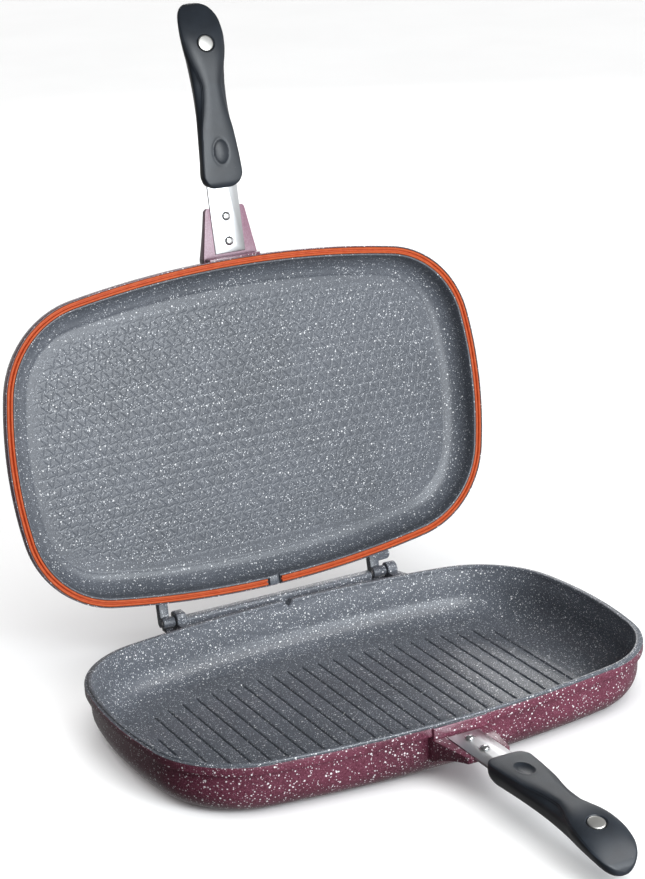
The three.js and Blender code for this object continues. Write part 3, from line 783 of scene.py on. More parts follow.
# ------------------------------------------------------------------- hardware
def build_shank(half):
    pts = [(-SHANK_HALF, SHANK_START), (-SHANK_HALF, -190), (-7, -202), (-7, -237), (-4, -240),
           (4, -240), (7, -237), (7, -202), (SHANK_HALF, -190), (SHANK_HALF, SHANK_START)]
    o = prism(half + "_shank_strip", pts, P - SHANK_DROP - SHANK_THICK, P - SHANK_DROP, "z")
    bevel(o, 0.28, 2, 40)
    cuts = [turned("h%d" % k, [(0, 0), (2.25, 0), (2.25, 8), (0, 8)], shift(0, y, P - 14))
            for k, y in enumerate(RIVET_Y)]
    cuts.append(turned("hs", [(0, 0), (2.0, 0), (2.0, 8), (0, 8)], shift(0, SCREW_Y, P - 14)))
    combine(o, cuts, "DIFFERENCE")
    if half == "upper":
        mirror_z(o)
        turn_open(o)
    finish_shading(o, 30)
    return o


def build_rivet(half, tag, y):
    f = P - SHANK_DROP + 0.12
    t = P - 13.6 - 0.3
    prof = [(0, t - 1.5), (1.6, t - 1.45), (2.8, t - 1.15), (3.35, t - 0.7), (3.5, t - 0.25), (3.45, t), (2.0, t),
            (2.0, f), (3.42, f), (3.5, f + 0.18)]
    for i in range(1, 9):
        a = math.radians(90 * i / 8)
        prof.append((3.5 * math.cos(a) ** 0.9 if i < 8 else 0.0, f + 0.18 + 1.55 * math.sin(a)))
    prof[-1] = (0, prof[-1][1])
    return turned("%s_rivet_%s_dome" % (half, tag), prof, shift(0, y, 0), 40, 35, half)


def build_magnet(half):
    t = 3.0
    prof = [(0, 0), (5.7, 0), (6.0, 0.3), (6.0, t - 0.75), (5.93, t - 0.5), (5.75, t - 0.32), (5.2, t - 0.12),
            (5.0, t - 0.1), (3.6, t + 0.02), (1.8, t + 0.14), (0, t + 0.18)]
    z = P - face_at(MAGNET_Y) - 2.95
    return turned(half + "_magnet_disc", prof, shift(0, MAGNET_Y + 0.53, z, MAGNET_TILT), 56, 30, half)


def build_screw(half):
    z = P - 19.7
    prof = [(0, z - 2.3), (1.6, z - 2.22), (2.7, z - 1.9), (3.3, z - 1.35), (3.5, z - 0.7), (3.5, z), (1.6, z),
            (1.6, z + 12.6), (0.9, z + 13.1), (0, z + 13.2)]
    o = turned("%s_grip_screw_head" % half, prof, shift(0, SCREW_Y, 0), 40, 35)
    # cross recess
    for k, (a, b) in enumerate(((0.45, 1.9), (1.9, 0.45))):
        c = block("cross%d" % k, -a, a, SCREW_Y - b, SCREW_Y + b, z - 3.2, z - 1.0)
        combine(o, [c], "DIFFERENCE")
    if half == "upper":
        mirror_z(o)
        turn_open(o)
    finish_shading(o, 35)
    return o


# ---------------------------------------------------------------------- grips
def face_at(y):
    u = max(0.0, -266.0 - y)
    return GRIP_FACE + 0.00342 * u ** 2 + 0.0000728 * u ** 3


GRIP_SECTIONS = [  # y, face half width, face distance or 0, crown, four (half width, distance) round the back
    (-179.6, 6.2, 4.8, 0.2, 6.8, 8.0, 6.2, 12.5, 4.4, 16.0, 2.2, 17.6),
    (-181.2, 10.4, 3.4, 0.3, 11.2, 8.0, 10.0, 13.6, 7.2, 17.8, 3.6, 19.4),
    (-184.4, 13.9, 2.6, 0.4, 14.4, 8.0, 13.0, 13.8, 9.4, 18.6, 4.6, 20.6),
    (-190.0, 16.0, 0, 0.5, 16.3, 8.0, 14.6, 13.2, 10.6, 18.9, 5.0, 21.4),
    (-200.0, 15.5, 0, 0.7, 15.7, 8.0, 13.8, 13.0, 10.1, 18.9, 4.8, 21.6),
    (-212.0, 14.4, 0, 0.9, 14.9, 8.2, 13.0, 13.2, 9.5, 18.9, 4.6, 21.8),
    (-224.0, 13.0, 0, 1.2, 14.0, 8.4, 12.3, 13.3, 9.1, 19.0, 4.4, 22.2),
    (-236.0, 10.6, 0, 1.5, 13.0, 8.4, 11.6, 13.6, 8.8, 19.2, 4.2, 22.3),
    (-246.0, 9.2, 0, 1.8, 12.6, 8.2, 11.5, 13.7, 8.9, 19.4, 4.2, 22.4),
    (-255.0, 8.6, 0, 2.0, 12.7, 8.2, 11.8, 14.0, 9.2, 19.7, 4.4, 22.8),
    (-264.0, 10.6, 0, 2.2, 13.3, 8.0, 12.5, 14.0, 9.6, 20.1, 4.6, 23.4),
    (-274.0, 13.9, 0, 2.5, 14.7, 8.6, 13.4, 14.2, 10.2, 20.8, 4.8, 24.4),
    (-284.0, 16.2, 0, 2.8, 16.6, 9.8, 14.6, 15.4, 10.9, 21.8, 5.0, 25.6),
    (-294.0, 17.1, 0, 2.4, 17.2, 11.6, 15.0, 16.8, 11.2, 22.8, 5.0, 27.0),
    (-303.0, 16.6, 0, 1.7, 16.1, 14.9, 14.2, 19.2, 10.6, 24.6, 4.8, 28.6),
    (-310.0, 14.2, 0, 0.8, 13.9, 18.4, 12.2, 22.4, 8.8, 26.6, 3.8, 29.2),
    (-314.6, 10.6, 0, 0.3, 10.4, 21.2, 9.2, 24.2, 6.4, 27.4, 2.6, 28.8),
    (-317.0, 5.6, 22.8, 0, 5.4, 24.2, 4.6, 25.6, 3.2, 27.0, 1.3, 27.6),
]


def build_grip(half):
    # columns: y, face half width, face distance, crown, back points
    table = []
    for row in GRIP_SECTIONS:
        r = list(row)
        r[2] = r[2] or face_at(r[0])
        table.append(r)
    near, far = -179.4, -317.62
    first, last = table[0], table[-1]
    c0 = 10.4
    c1 = 25.4
    table.insert(0, [near, 0, c0, 0, 0, c0, 0, c0, 0, c0, 0, c0])
    table.append([far, 0, c1, 0, 0, c1, 0, c1, 0, c1, 0, c1])
    table = np.array(table, float)
    step = np.hypot(np.diff(table[:, 0]), np.diff(table[:, 1]))
    s = np.r_[0, np.cumsum(step)]
    # fine stations: closer at the two ends
    n = 190
    t = np.linspace(0, 1, n)
    at = []
    total = s[-1]
    for u in t:
        at.append(total * (u + 0.0 * u))
    at = np.array(at)
    ends = np.concatenate([np.linspace(0.15, s[3], 20), at[(at > s[3] + 0.5) & (at < s[-4] - 0.5)],
                           np.linspace(s[-4], total - 0.15, 36)])
    cols = [catmull(s, table[:, k], ends) for k in range(table.shape[1])]
    rows = []
    for k in range(len(ends)):
        y, w, f, crown = cols[0][k], cols[1][k], cols[2][k], cols[3][k]
        if s[4] < ends[k] < s[-3]:
            f = face_at(y)
        r = min(1.0, 0.3 * w)
        half_ring = []
        for i in range(22):
            x = (w - r) * i / 21
            half_ring.append([x, f + crown * (x / w) ** 4])
        edge = f + crown
        for i in range(1, 6):
            a = math.radians(90 * i / 5)
            half_ring.append([w - r + r * math.sin(a), edge + 0.9 * (1 - math.cos(a)) * r])
        kx = [w] + [cols[j][k] for j in (4, 6, 8, 10)] + [0.0]
        kz = [edge + 0.9 * r] + [cols[j][k] for j in (5, 7)] + [cols[9][k] - 0.13, cols[11][k] - 0.15, cols[11][k] - 0.28]
        kz = list(np.maximum.accumulate(kz))
        half_ring += side_curve(kx, kz, 28)[1:]
        rows.append((y, np.array(half_ring)))
    verts = []
    m = len(rows[0][1])
    for y, hr in rows:
        d = hr[:, 1].copy()
        # oval on the face: hollow above, boss below
        rho = np.sqrt((hr[:, 0] / 6.0) ** 2 + ((y - BUMP_Y) / 9.0) ** 2)
        top = np.arange(m) < 22
        if half == "lower":
            bump = 1.5 * np.clip(1 - rho ** 2.4, 0, 1) ** 0.8
            bump -= 0.10 * np.exp(-((rho - 1.08) / 0.10) ** 2)
        else:
            bump = -1.35 * np.clip(1 - rho ** 2, 0, 1) ** 0.75
            bump += 0.22 * np.exp(-((rho - 1.08) / 0.12) ** 2)
        d = d + np.where(top, bump, 0)
        right = [(x, y, P - dd) for x, dd in zip(hr[:, 0], d)]
        left = [(-x, y, P - dd) for x, dd in zip(hr[1:-1, 0], d[1:-1])][::-1]
        verts.append(right + left)
    n = len(verts[0])
    flat = np.array([v for ring in verts for v in ring])
    faces = loft_faces(n, len(verts))
    k0 = len(flat)
    flat = np.vstack([flat, [[0, near, P - c0]], [[0, far, P - c1]]])
    faces += [(k0, i, (i + 1) % n) for i in range(n)]
    base = (len(verts) - 1) * n
    faces += [(k0 + 1, base + (i + 1) % n, base + i) for i in range(n)]
    o = make(half + "_grip_body", flat, faces, 40)
    z_lo, z_hi = P - SHANK_DROP - SHANK_THICK - 0.25, P - SHANK_DROP + 0.25
    h = SHANK_HALF + 0.25
    slot = prism("slot", [(-h, -175), (-h, -190.2), (-7.35, -202.2), (-7.35, -240.4), (7.35, -240.4),
                          (7.35, -202.2), (h, -190.2), (h, -175)], z_lo, z_hi, "z")
    hole = turned("hole", [(0, 0), (1.95, 0), (1.95, 16), (0, 16)], shift(0, SCREW_Y, P - 21.5))
    seat = turned("seat", [(0, 0), (4.6, 0), (3.9, 4.6), (3.9, 9), (0, 9)], shift(0, SCREW_Y, P - 28.4))
    mz = P - face_at(MAGNET_Y) - 3.3
    pocket = turned("pocket", [(0, 0), (6.55, 0), (6.6, 2.3), (6.9, 2.75), (7.5, 3.2), (9.0, 7), (0, 7)],
                    shift(0, MAGNET_Y + 0.6, mz, MAGNET_TILT), 64)
    combine(o, [slot, hole, seat, pocket], "DIFFERENCE")
    tidy(o)
    if half == "upper":
        mirror_z(o)
        turn_open(o)
    finish_shading(o, 32)
    return o


def side_curve(xs, zs, count):
    """Smooth open curve through points, evenly spaced (centripetal spline)."""
    p = np.column_stack([xs, zs]).astype(float)
    ext = np.vstack([2 * p[0] - p[1], p, [[-p[-2][0], p[-2][1]]]])
    pts = []
    for i in range(1, len(ext) - 2):
        p0, p1, p2, p3 = ext[i - 1], ext[i], ext[i + 1], ext[i + 2]
        t01 = max(np.hypot(*(p1 - p0)) ** 0.5, 1e-6)
        t12 = max(np.hypot(*(p2 - p1)) ** 0.5, 1e-6)
        t23 = max(np.hypot(*(p3 - p2)) ** 0.5, 1e-6)
        m1 = (p2 - p1) + t12 * ((p1 - p0) / t01 - (p2 - p0) / (t01 + t12))
        m2 = (p2 - p1) + t12 * ((p3 - p2) / t23 - (p3 - p1) / (t12 + t23))
        for t in np.linspace(0, 1, 24, endpoint=False):
            pts.append((2 * (p1 - p2) + m1 + m2) * t ** 3 + (-3 * (p1 - p2) - 2 * m1 - m2) * t * t + m1 * t + p1)
    pts.append(ext[-2])
    pts = np.array(pts)
    seg = np.r_[0, np.cumsum(np.hypot(*np.diff(pts, axis=0).T))]
    at = np.linspace(0, seg[-1], count)
    out = np.column_stack([np.interp(at, seg, pts[:, 0]), np.interp(at, seg, pts[:, 1])])
    out[:, 0] = np.maximum(out[:, 0], 0)
    out[-1, 0] = 0
    return [list(q) for q in out]


# ------------------------------------------------------------------ materials
def node(nt, kind, **inputs):
    n = nt.nodes.new(kind)
    for k, v in inputs.items():
        setattr(n, k, v)
    return n


class Graph:
    def __init__(self, name):
        self.mat = bpy.data.materials.new(name)
        self.mat.use_nodes = True
        self.nt = self.mat.node_tree
        self.nt.nodes.clear()
        self.out = self.nt.nodes.new("ShaderNodeOutputMaterial")
        self.bsdf = self.nt.nodes.new("ShaderNodeBsdfPrincipled")
        self.nt.links.new(self.bsdf.outputs[0], self.out.inputs[0])
        self.co = self.nt.nodes.new("ShaderNodeTexCoord")

    def link(self, a, b):
        self.nt.links.new(a, b)

    def set(self, **kw):
        for k, v in kw.items():
            self.bsdf.inputs[k.replace("_", " ")].default_value = v

    def noise(self, scale, detail=3.0, rough=0.55, distort=0.0, vec=None):
        n = self.nt.nodes.new("ShaderNodeTexNoise")
        n.inputs["Scale"].default_value = scale
        n.inputs["Detail"].default_value = detail
        n.inputs["Roughness"].default_value = rough
        n.inputs["Distortion"].default_value = distort
        self.link(vec or self.co.outputs["Object"], n.inputs["Vector"])
        return n

    def math(self, op, a, b=None, clamp=False):
        n = self.nt.nodes.new("ShaderNodeMath")
        n.operation, n.use_clamp = op, clamp
        for i, v in enumerate((a, b)):
            if v is None:
                continue
            if isinstance(v, (int, float)):
                n.inputs[i].default_value = v
            else:
                self.link(v, n.inputs[i])
        return n.outputs[0]

    def ramp(self, value, lo, hi, a=0.0, b=1.0):
        n = self.nt.nodes.new("ShaderNodeMapRange")
        n.interpolation_type = "SMOOTHSTEP"
        n.inputs["From Min"].default_value = lo
        n.inputs["From Max"].default_value = hi
        n.inputs["To Min"].default_value = a
        n.inputs["To Max"].default_value = b
        self.link(value, n.inputs["Value"])
        return n.outputs[0]

    def mix(self, fac, a, b):
        n = self.nt.nodes.new("ShaderNodeMix")
        n.data_type = "RGBA"
        for sock, v in ((n.inputs[0], fac), (n.inputs[6], a), (n.inputs[7], b)):
            if isinstance(v, (int, float)):
                sock.default_value = v
            elif isinstance(v, tuple):
                sock.default_value = (*v, 1.0)
            else:
                self.link(v, sock)
        return n.outputs[2]

    def warped(self, amount, scale):
        """Object coordinates pushed about by noise, so that spots are not round."""
        n = self.noise(scale, 2.0)
        s = self.nt.nodes.new("ShaderNodeVectorMath")
        s.operation = "MULTIPLY_ADD"
        self.link(n.outputs["Color"], s.inputs[0])
        s.inputs[1].default_value = (amount,) * 3
        self.link(self.co.outputs["Object"], s.inputs[2])
        return s.outputs[0]

    def specks(self, vec, cell, size, spread=0.6, keep=1.0, soft=0.12):
        """0..1 mask of irregular spots: cell is their spacing and size their radius, in mm."""
        v = self.nt.nodes.new("ShaderNodeTexVoronoi")
        v.feature = "F1"
        v.inputs["Scale"].default_value = 1000.0 / cell
        v.inputs["Randomness"].default_value = 1.0
        self.link(vec, v.inputs["Vector"])
        sep = self.nt.nodes.new("ShaderNodeSeparateColor")
        self.link(v.outputs["Color"], sep.inputs[0])
        r = size / cell
        radius = self.math("MULTIPLY_ADD", sep.outputs[0], r * spread)
        self.nt.nodes[-1].inputs[2].default_value = r * (1 - spread * 0.5)
        d = self.math("DIVIDE", v.outputs["Distance"], radius)
        spot = self.ramp(d, 1.0 - soft, 1.0 + soft, 1.0, 0.0)
        if keep < 1.0:
            on = self.math("LESS_THAN", sep.outputs[1], keep)
            spot = self.math("MULTIPLY", spot, on)
        bright = self.math("MULTIPLY_ADD", sep.outputs[2], 0.25)
        self.nt.nodes[-1].inputs[2].default_value = 0.75
        return self.math("MULTIPLY", spot, bright)

    def bump(self, height, strength, distance):
        n = self.nt.nodes.new("ShaderNodeBump")
        n.inputs["Strength"].default_value = strength
        n.inputs["Distance"].default_value = distance
        self.link(height, n.inputs["Height"])
        self.link(n.outputs[0], self.bsdf.inputs["Normal"])
        return n


def srgb(r, g, b):
    def f(c):
        c /= 255.0
        return c / 12.92 if c <= 0.04045 else ((c + 0.055) / 1.055) ** 2.4
    return (f(r), f(g), f(b))


def coating(name, base, dark, light, layers, rough, coat, spec=0.5, pit=0.25, metal=0.0):
    """Speckled stone coating: base colour with cloudy variation and layers of specks."""
    g = Graph(name)
    cloud = g.noise(14.0, 4.0, 0.6)
    col = g.mix(g.ramp(cloud.outputs[0], 0.32, 0.68), dark, base)
    grain = g.noise(900.0, 2.0, 0.7)
    col = g.mix(g.ramp(grain.outputs[0], 0.35, 0.75, 0.0, 0.55), col, light)
    warped = g.warped(0.0007, 750.0)
    height = None
    for cell, size, keep, colour, amount in layers:
        m = g.specks(warped, cell, size, keep=keep)
        fac = g.math("MULTIPLY", m, amount)
        col = g.mix(fac, col, colour)
        height = m if height is None else g.math("ADD", height, m)
    g.link(col, g.bsdf.inputs["Base Color"])
    r = g.math("MULTIPLY_ADD", grain.outputs[0], 0.16)
    g.nt.nodes[-1].inputs[2].default_value = rough - 0.08
    g.link(r, g.bsdf.inputs["Roughness"])
    g.set(Specular_IOR_Level=spec, Coat_Weight=coat, Coat_Roughness=0.18, Metallic=metal)
    pits = g.noise(1500.0, 2.0, 0.6)
    h = g.math("ADD", g.math("MULTIPLY", height, 0.5), pits.outputs[0])
    g.bump(h, pit, 0.00012)
    return g.mat


def grey_coating(name, keep):
    return coating(
        name, srgb(92, 96, 104), srgb(79, 83, 90), srgb(116, 120, 128),
        [(0.85, 0.21, 0.55, srgb(196, 201, 210), 0.75),
         (1.45, 0.32, keep, srgb(246, 248, 252), 1.0),
         (3.6, 0.52, keep + 0.1, srgb(255, 255, 255), 1.0)],
        0.42, 0.12, spec=0.5)


def wine_coating():
    return coating(
        "coating_wine", srgb(106, 49, 67), srgb(82, 33, 49), srgb(136, 78, 98),
        [(1.1, 0.26, 0.7, srgb(190, 124, 146), 0.65),
         (2.0, 0.40, 0.8, srgb(252, 240, 245), 1.0),
         (3.6, 0.62, 0.75, srgb(255, 252, 253), 1.0)],
        0.30, 0.6)


def painted_highlight_coating(name, base, dark, light):
    """The wine coating made lighter and almost free of specks: a painted highlight where the lamps' sheen lies on the
    wine.
    """
    return coating(
        name, base, dark, light,
        [(1.3, 0.22, 0.2, srgb(196, 160, 174), 0.5),
         (6.5, 0.40, 0.35, srgb(250, 244, 247), 0.9)],
        0.34, 0.4)


def silicone():
    g = Graph("silicone_orange")
    n = g.noise(220.0, 3.0)
    col = g.mix(g.ramp(n.outputs[0], 0.3, 0.7), srgb(200, 84, 36), srgb(212, 98, 50))
    fine = g.noise(2600.0, 2.0)
    g.link(col, g.bsdf.inputs["Base Color"])
    g.link(g.ramp(fine.outputs[0], 0.3, 0.7, 0.42, 0.56), g.bsdf.inputs["Roughness"])
    g.set(Subsurface_Weight=0.08, Subsurface_Scale=0.002, Specular_IOR_Level=0.35)
    g.bsdf.inputs["Subsurface Radius"].default_value = (1.0, 0.35, 0.12)
    g.bump(fine.outputs[0], 0.12, 0.00008)
    return g.mat


def phenolic():
    g = Graph("phenolic_charcoal")
    n = g.noise(60.0, 4.0)
    col = g.mix(g.ramp(n.outputs[0], 0.3, 0.7), srgb(34, 39, 46), srgb(42, 48, 56))
    fine = g.noise(1800.0, 3.0, 0.65)
    dust = g.specks(g.warped(0.0006, 900.0), 2.6, 0.14, keep=0.35)
    col = g.mix(g.math("MULTIPLY", dust, 0.4), col, srgb(150, 154, 160))
    g.link(col, g.bsdf.inputs["Base Color"])
    g.link(g.ramp(fine.outputs[0], 0.25, 0.75, 0.38, 0.48), g.bsdf.inputs["Roughness"])
    g.set(Specular_IOR_Level=0.5, Coat_Weight=0.1, Coat_Roughness=0.35)
    g.bump(fine.outputs[0], 0.22, 0.00010)
    return g.mat


def steel(name, colour, rough, brushed=0.0, along="y"):
    g = Graph(name)
    mp = g.nt.nodes.new("ShaderNodeMapping")
    mp.inputs["Scale"].default_value = (1.0, 0.06, 1.0) if along == "y" else (1.0, 1.0, 1.0)
    g.link(g.co.outputs["Object"], mp.inputs["Vector"])
    n = g.noise(1900.0, 4.0, 0.7, vec=mp.outputs[0])
    smudge = g.noise(45.0, 3.0, 0.5)
    col = g.mix(g.ramp(smudge.outputs[0], 0.3, 0.7), tuple(0.94 * c for c in colour), colour)
    g.link(col, g.bsdf.inputs["Base Color"])
    r = g.math("MULTIPLY_ADD", n.outputs[0], 0.10 + brushed)
    g.nt.nodes[-1].inputs[2].default_value = rough - 0.03
    r2 = g.math("ADD", r, g.ramp(smudge.outputs[0], 0.35, 0.75, 0.0, 0.05))
    g.link(r2, g.bsdf.inputs["Roughness"])
    g.set(Metallic=1.0)
    g.bump(n.outputs[0], 0.06, 0.00004)
    return g.mat


# ------------------------------------------------------------------- assembly
def give(ob, body, nodes, mats, classify=None, angle=32.0):
    ob.data.materials.clear()
    for m in mats:
        ob.data.materials.append(m)
    if classify is not None:
        n = len(ob.data.polygons)
        centre = np.zeros(n * 3)
        normal = np.zeros(n * 3)
        ob.data.polygons.foreach_get("center", centre)
        ob.data.polygons.foreach_get("normal", normal)
        idx = classify(centre.reshape(-1, 3), normal.reshape(-1, 3)).astype(np.int32)
        ob.data.polygons.foreach_set("material_index", idx)
    else:
        ob.data.polygons.foreach_set("material_index", np.zeros(len(ob.data.polygons), np.int32))
    finish_shading(ob, angle)
    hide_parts(*nodes)
    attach(ob, body)


def outwards(xy):
    """Unit directions away from the outline's middle line, for points (n, 2)."""
    e = 0.05
    gx = inset_of(xy + (e, 0)) - inset_of(xy - (e, 0))
    gy = inset_of(xy + (0, e)) - inset_of(xy - (0, e))
    d = -np.column_stack([gx, gy])
    return d / np.maximum(np.hypot(d[:, 0], d[:, 1]), 1e-9)[:, None]


def lower_side(c, n):
    """1 where the wine coating is, 0 where the grey one is, 2 where the wine carries a painted highlight."""
    c = c / MM
    g = inset_of(c[:, :2])
    out = (outwards(c[:, :2]) * n[:, :2]).sum(axis=1)
    under = 22 - np.sqrt(np.clip(22.0 ** 2 - np.clip(26 - g, 0, 22) ** 2, 0, None))
    inner = (g > 5.2) & (c[:, 2] > 2.0) & np.where(g > 9, c[:, 2] > under + 1.8, (out < -0.05) | (n[:, 2] > 0.5))
    inner |= (g > 4.9) & (g < 9) & (c[:, 2] > 36.0)
    shelf = (g > 0.3) & (g < 8) & (c[:, 2] > 40.5)
    hinge = (c[:, 1] > 117.5) & (g < -0.12) & (np.abs(c[:, 0]) < 118)
    hinge |= (np.abs(c[:, 0]) < 7.0) & (c[:, 1] > 110) & (c[:, 2] > 35.2) & (g > 0.1)
    # top band and pad over the bracket get the lighter wine: a painted highlight of the lamps
    painted_highlight_band = (c[:, 1] < -118) & (np.abs(c[:, 0]) < 21.5) & (c[:, 2] > 35.0) & (g < 0.3)
    painted_highlight_band &= (g > -0.4) | ((n[:, 2] > 0.4) & (np.abs(c[:, 0]) < 24))
    return np.where(painted_highlight_band & ~(inner | shelf | hinge), 2, ~(inner | shelf | hinge))


def upper_side(c, n):
    q = closed_coords(c)
    cs, sn = math.cos(OPEN), math.sin(OPEN)
    m = np.column_stack([n[:, 0], n[:, 1] * cs - n[:, 2] * sn, n[:, 1] * sn + n[:, 2] * cs])
    g = inset_of(q[:, :2])
    out = (outwards(q[:, :2]) * m[:, :2]).sum(axis=1)
    inner = (g > 5.8) & ((out < -0.05) | (m[:, 2] < -0.5)) & (q[:, 2] < P + 24)
    shelf = (g > 0.25) & (g < 8.2) & (q[:, 2] < P + 3.8)
    hinge = (q[:, 1] > 118) & (np.abs(q[:, 0]) < 118) & (g < -0.12)
    front = (q[:, 1] < -118) & (g < 0.5)
    # upper bracket's side and under faces get the pale wine: a painted highlight
    highlit_cheeks = (np.abs(q[:, 0]) < 23) & (g < -0.4) & (q[:, 1] < -118) & (m[:, 2] < 0.3)
    return np.where(highlit_cheeks, 2, ~((inner | shelf | hinge) & ~front))


GREY_LOW, GREY_UP = grey_coating("coating_grey_deep", 0.7), grey_coating("coating_grey", 0.42)
WINE = wine_coating()
# pale pink wine for the upper bracket's faces: painted highlight
WINE_PAINTED_HIGHLIGHT_PALE = painted_highlight_coating("coating_wine_painted_highlight_pale", srgb(156, 114, 133), srgb(144, 102, 121), srgb(175, 136, 153))
# lighter wine for the top band over the lower bracket: painted highlight
WINE_PAINTED_HIGHLIGHT_BAND = painted_highlight_coating("coating_wine_painted_highlight_band", srgb(132, 72, 94), srgb(116, 58, 80), srgb(154, 98, 118))
ORANGE, GRIP = silicone(), phenolic()
STRIP = steel("steel_polished", (0.63, 0.64, 0.65), 0.27, 0.06)
FASTENER = steel("steel_fastener", (0.80, 0.80, 0.81), 0.18, 0.05, "none")
BUTTON = steel("button_plated", (0.80, 0.79, 0.76), 0.32, 0.08, "none")

low = build_lower_pan()
give(low, "lower_body", ["lower_pan"], [GREY_LOW, WINE, WINE_PAINTED_HIGHLIGHT_BAND], lower_side)
upp = build_upper_pan()
give(upp, "upper_body", ["upper_pan"], [GREY_UP, WINE, WINE_PAINTED_HIGHLIGHT_PALE], upper_side)
give(build_seal(), "upper_body", ["seal"], [ORANGE], angle=50)

for half in ("lower", "upper"):
    body = half + "_body"
    give(build_shank(half), body, [half + "_shank"], [STRIP])
    for tag, y in zip(("inner", "outer"), RIVET_Y):
        give(build_rivet(half, tag, y), body, ["%s_rivet_%s" % (half, tag)], [FASTENER])
    give(build_grip(half), body, [half + "_grip"], [GRIP])
    give(build_magnet(half), body, [half + "_magnet"], [BUTTON])
    give(build_screw(half), body, [half + "_grip_screw"], [FASTENER])
give(rod("hinge_pin_left_rod", 1.7, -99.3, -82.6), "lower_body", ["hinge_pin_left"], [FASTENER])
give(rod("hinge_pin_right_rod", 1.7, 82.1, 102.2), "lower_body", ["hinge_pin_right"], [FASTENER])


# ---------------------------------------------------------------------- stage
def stage():
    me = bpy.data.meshes.new("floor")
    r, n = 6.0, 96
    verts, faces = [(0.0, 0.0, 0.0)], []
    for ring in range(1, 13):
        for i in range(n):
            t = 2 * math.pi * i / n
            verts.append((r * ring / 12 * math.cos(t), r * ring / 12 * math.sin(t), 0.0))
    faces += [(0, 1 + i, 1 + (i + 1) % n) for i in range(n)]
    for ring in range(11):
        a, b = 1 + ring * n, 1 + (ring + 1) * n
        faces += [(a + i, b + i, b + (i + 1) % n, a + (i + 1) % n) for i in range(n)]
    me.from_pydata(verts, [], faces)
    ob = bpy.data.objects.new("floor", me)
    bpy.context.scene.collection.objects.link(ob)
    g = Graph("floor_pale")
    n1 = g.noise(3.0, 3.0)
    g.link(g.mix(g.ramp(n1.outputs[0], 0.3, 0.7), (0.90, 0.90, 0.90), (0.92, 0.92, 0.92)), g.bsdf.inputs["Base Color"])
    g.set(Roughness=0.9, Specular_IOR_Level=0.1)
    me.materials.append(g.mat)
    ob.location = (0, 0, -0.0003)
    ob.visible_diffuse = False
    ob.visible_glossy = False
    only = bpy.data.collections.new("floor_only")
    only.objects.link(ob)
    sun = bpy.data.lights.new("floor_light", "SUN")
    sun.energy, sun.angle = 3.0, math.radians(75)
    so = bpy.data.objects.new("floor_light", sun)
    bpy.context.scene.collection.objects.link(so)
    so.rotation_euler = (math.radians(12), math.radians(-14), 0)
    so.light_linking.receiver_collection = only

    world = bpy.data.worlds.new("studio")
    bpy.context.scene.world = world
    world.use_nodes = True
    nt = world.node_tree
    bg = nt.nodes["Background"]
    tc = nt.nodes.new("ShaderNodeTexCoord")
    sep = nt.nodes.new("ShaderNodeSeparateXYZ")
    nt.links.new(tc.outputs["Generated"], sep.inputs[0])

    def part(axis, lo, hi, a, b):
        m = nt.nodes.new("ShaderNodeMapRange")
        m.interpolation_type = "SMOOTHSTEP"
        for k, v in (("From Min", lo), ("From Max", hi), ("To Min", a), ("To Max", b)):
            m.inputs[k].default_value = v
        nt.links.new(sep.outputs[axis], m.inputs["Value"])
        return m.outputs[0]

    def times(a, b):
        m = nt.nodes.new("ShaderNodeMath")
        m.operation = "MULTIPLY"
        nt.links.new(a, m.inputs[0])
        nt.links.new(b, m.inputs[1])
        return m.outputs[0]

    # brightest at the horizon in front, dim above, below and on the left
    level = times(part("Z", 0.0, 0.55, 0.85, 0.13), part("Z", -0.40, 0.0, 0.24, 1.0))
    level = times(level, part("X", -0.95, 0.10, 0.18, 1.0))
    nt.links.new(level, bg.inputs[1])
    bg.inputs[0].default_value = (1.0, 1.0, 1.0, 1.0)


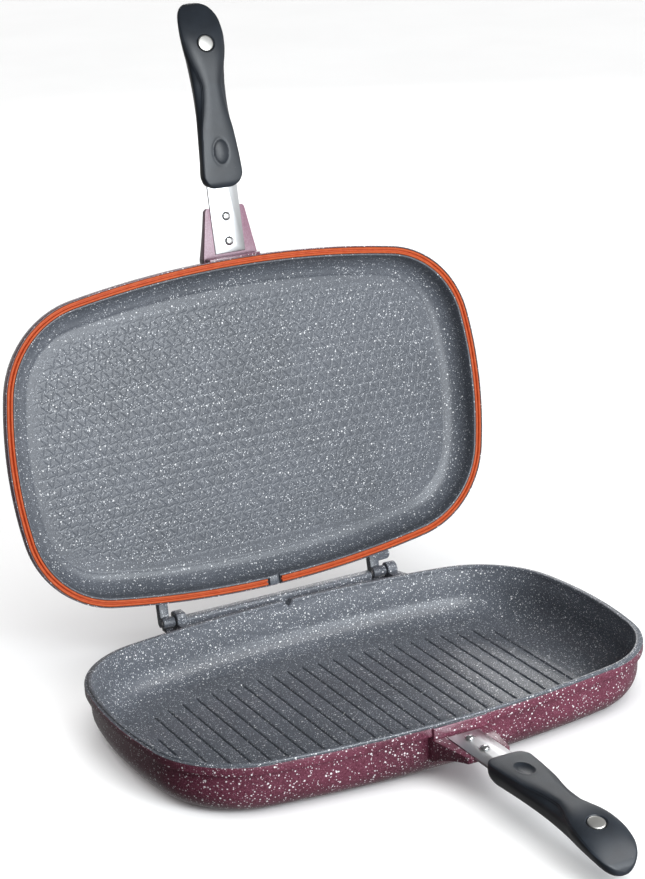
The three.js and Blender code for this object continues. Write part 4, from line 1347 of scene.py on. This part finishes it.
def area(name, at, to, size, power, colour=(1, 1, 1), size_y=None):
    li = bpy.data.lights.new(name, "AREA")
    li.energy, li.color = power, colour
    li.shape = "RECTANGLE" if size_y else "SQUARE"
    li.size = size
    if size_y:
        li.size_y = size_y
    ob = bpy.data.objects.new(name, li)
    bpy.context.scene.collection.objects.link(ob)
    ob.location = at
    ob.rotation_euler = (Vector(to) - Vector(at)).to_track_quat("-Z", "Y").to_euler()
    return ob


def camera():
    cam = bpy.data.cameras.new("camera")
    ob = bpy.data.objects.new("camera", cam)
    bpy.context.scene.collection.objects.link(ob)
    az, el, roll = math.radians(-27.899), math.radians(18.805), math.radians(-2.309)
    back = Vector((math.sin(az) * math.cos(el), -math.cos(az) * math.cos(el), math.sin(el)))
    fw = -back
    right = fw.cross(Vector((0, 0, 1))).normalized()
    up = right.cross(fw)
    r2 = right * math.cos(roll) + up * math.sin(roll)
    u2 = -right * math.sin(roll) + up * math.cos(roll)
    m = Matrix((
        (r2.x, u2.x, back.x, -0.73772),
        (r2.y, u2.y, back.y, -1.33913),
        (r2.z, u2.z, back.z, 0.72789),
        (0, 0, 0, 1)))
    ob.matrix_world = m
    cam.sensor_fit = "AUTO"
    cam.sensor_width = 36.0
    cam.lens = 94.78
    cam.clip_start, cam.clip_end = 0.05, 50.0
    bpy.context.scene.camera = ob


stage()
camera()
area("key", (0.10, -1.55, 1.15), (0.0, 0.12, 0.24), 0.9, 17.0, (0.95, 0.98, 1.0), 0.6)
area("front_right", (0.50, -1.60, 0.62), (0.0, 0.12, 0.30), 0.6, 12.0, (0.90, 0.96, 1.0))
area("front_low", (0.10, -1.90, 0.26), (0.0, 0.10, 0.10), 1.4, 9.5, (0.95, 0.98, 1.0), 0.35)
area("back", (1.15, 1.90, 0.90), (0.0, 0.0, 0.10), 0.8, 8.0)
lower_things = bpy.data.collections.new("lower_half_only")
for ob in bpy.context.scene.objects:
    if ob.name == low.name or ob.name.startswith(("lower_shank", "lower_rivet", "lower_magnet", "lower_grip")):
        lower_things.objects.link(ob)
top = area("above", (0.83, -0.80, 1.30), (0.05, 0.05, 0.03), 0.7, 10.0)
top.light_linking.receiver_collection = lower_things

scene = bpy.context.scene
scene.view_settings.view_transform = "Standard"
scene.view_settings.look = "None"
scene.view_settings.exposure = 0.0
scene.view_settings.gamma = 1.0
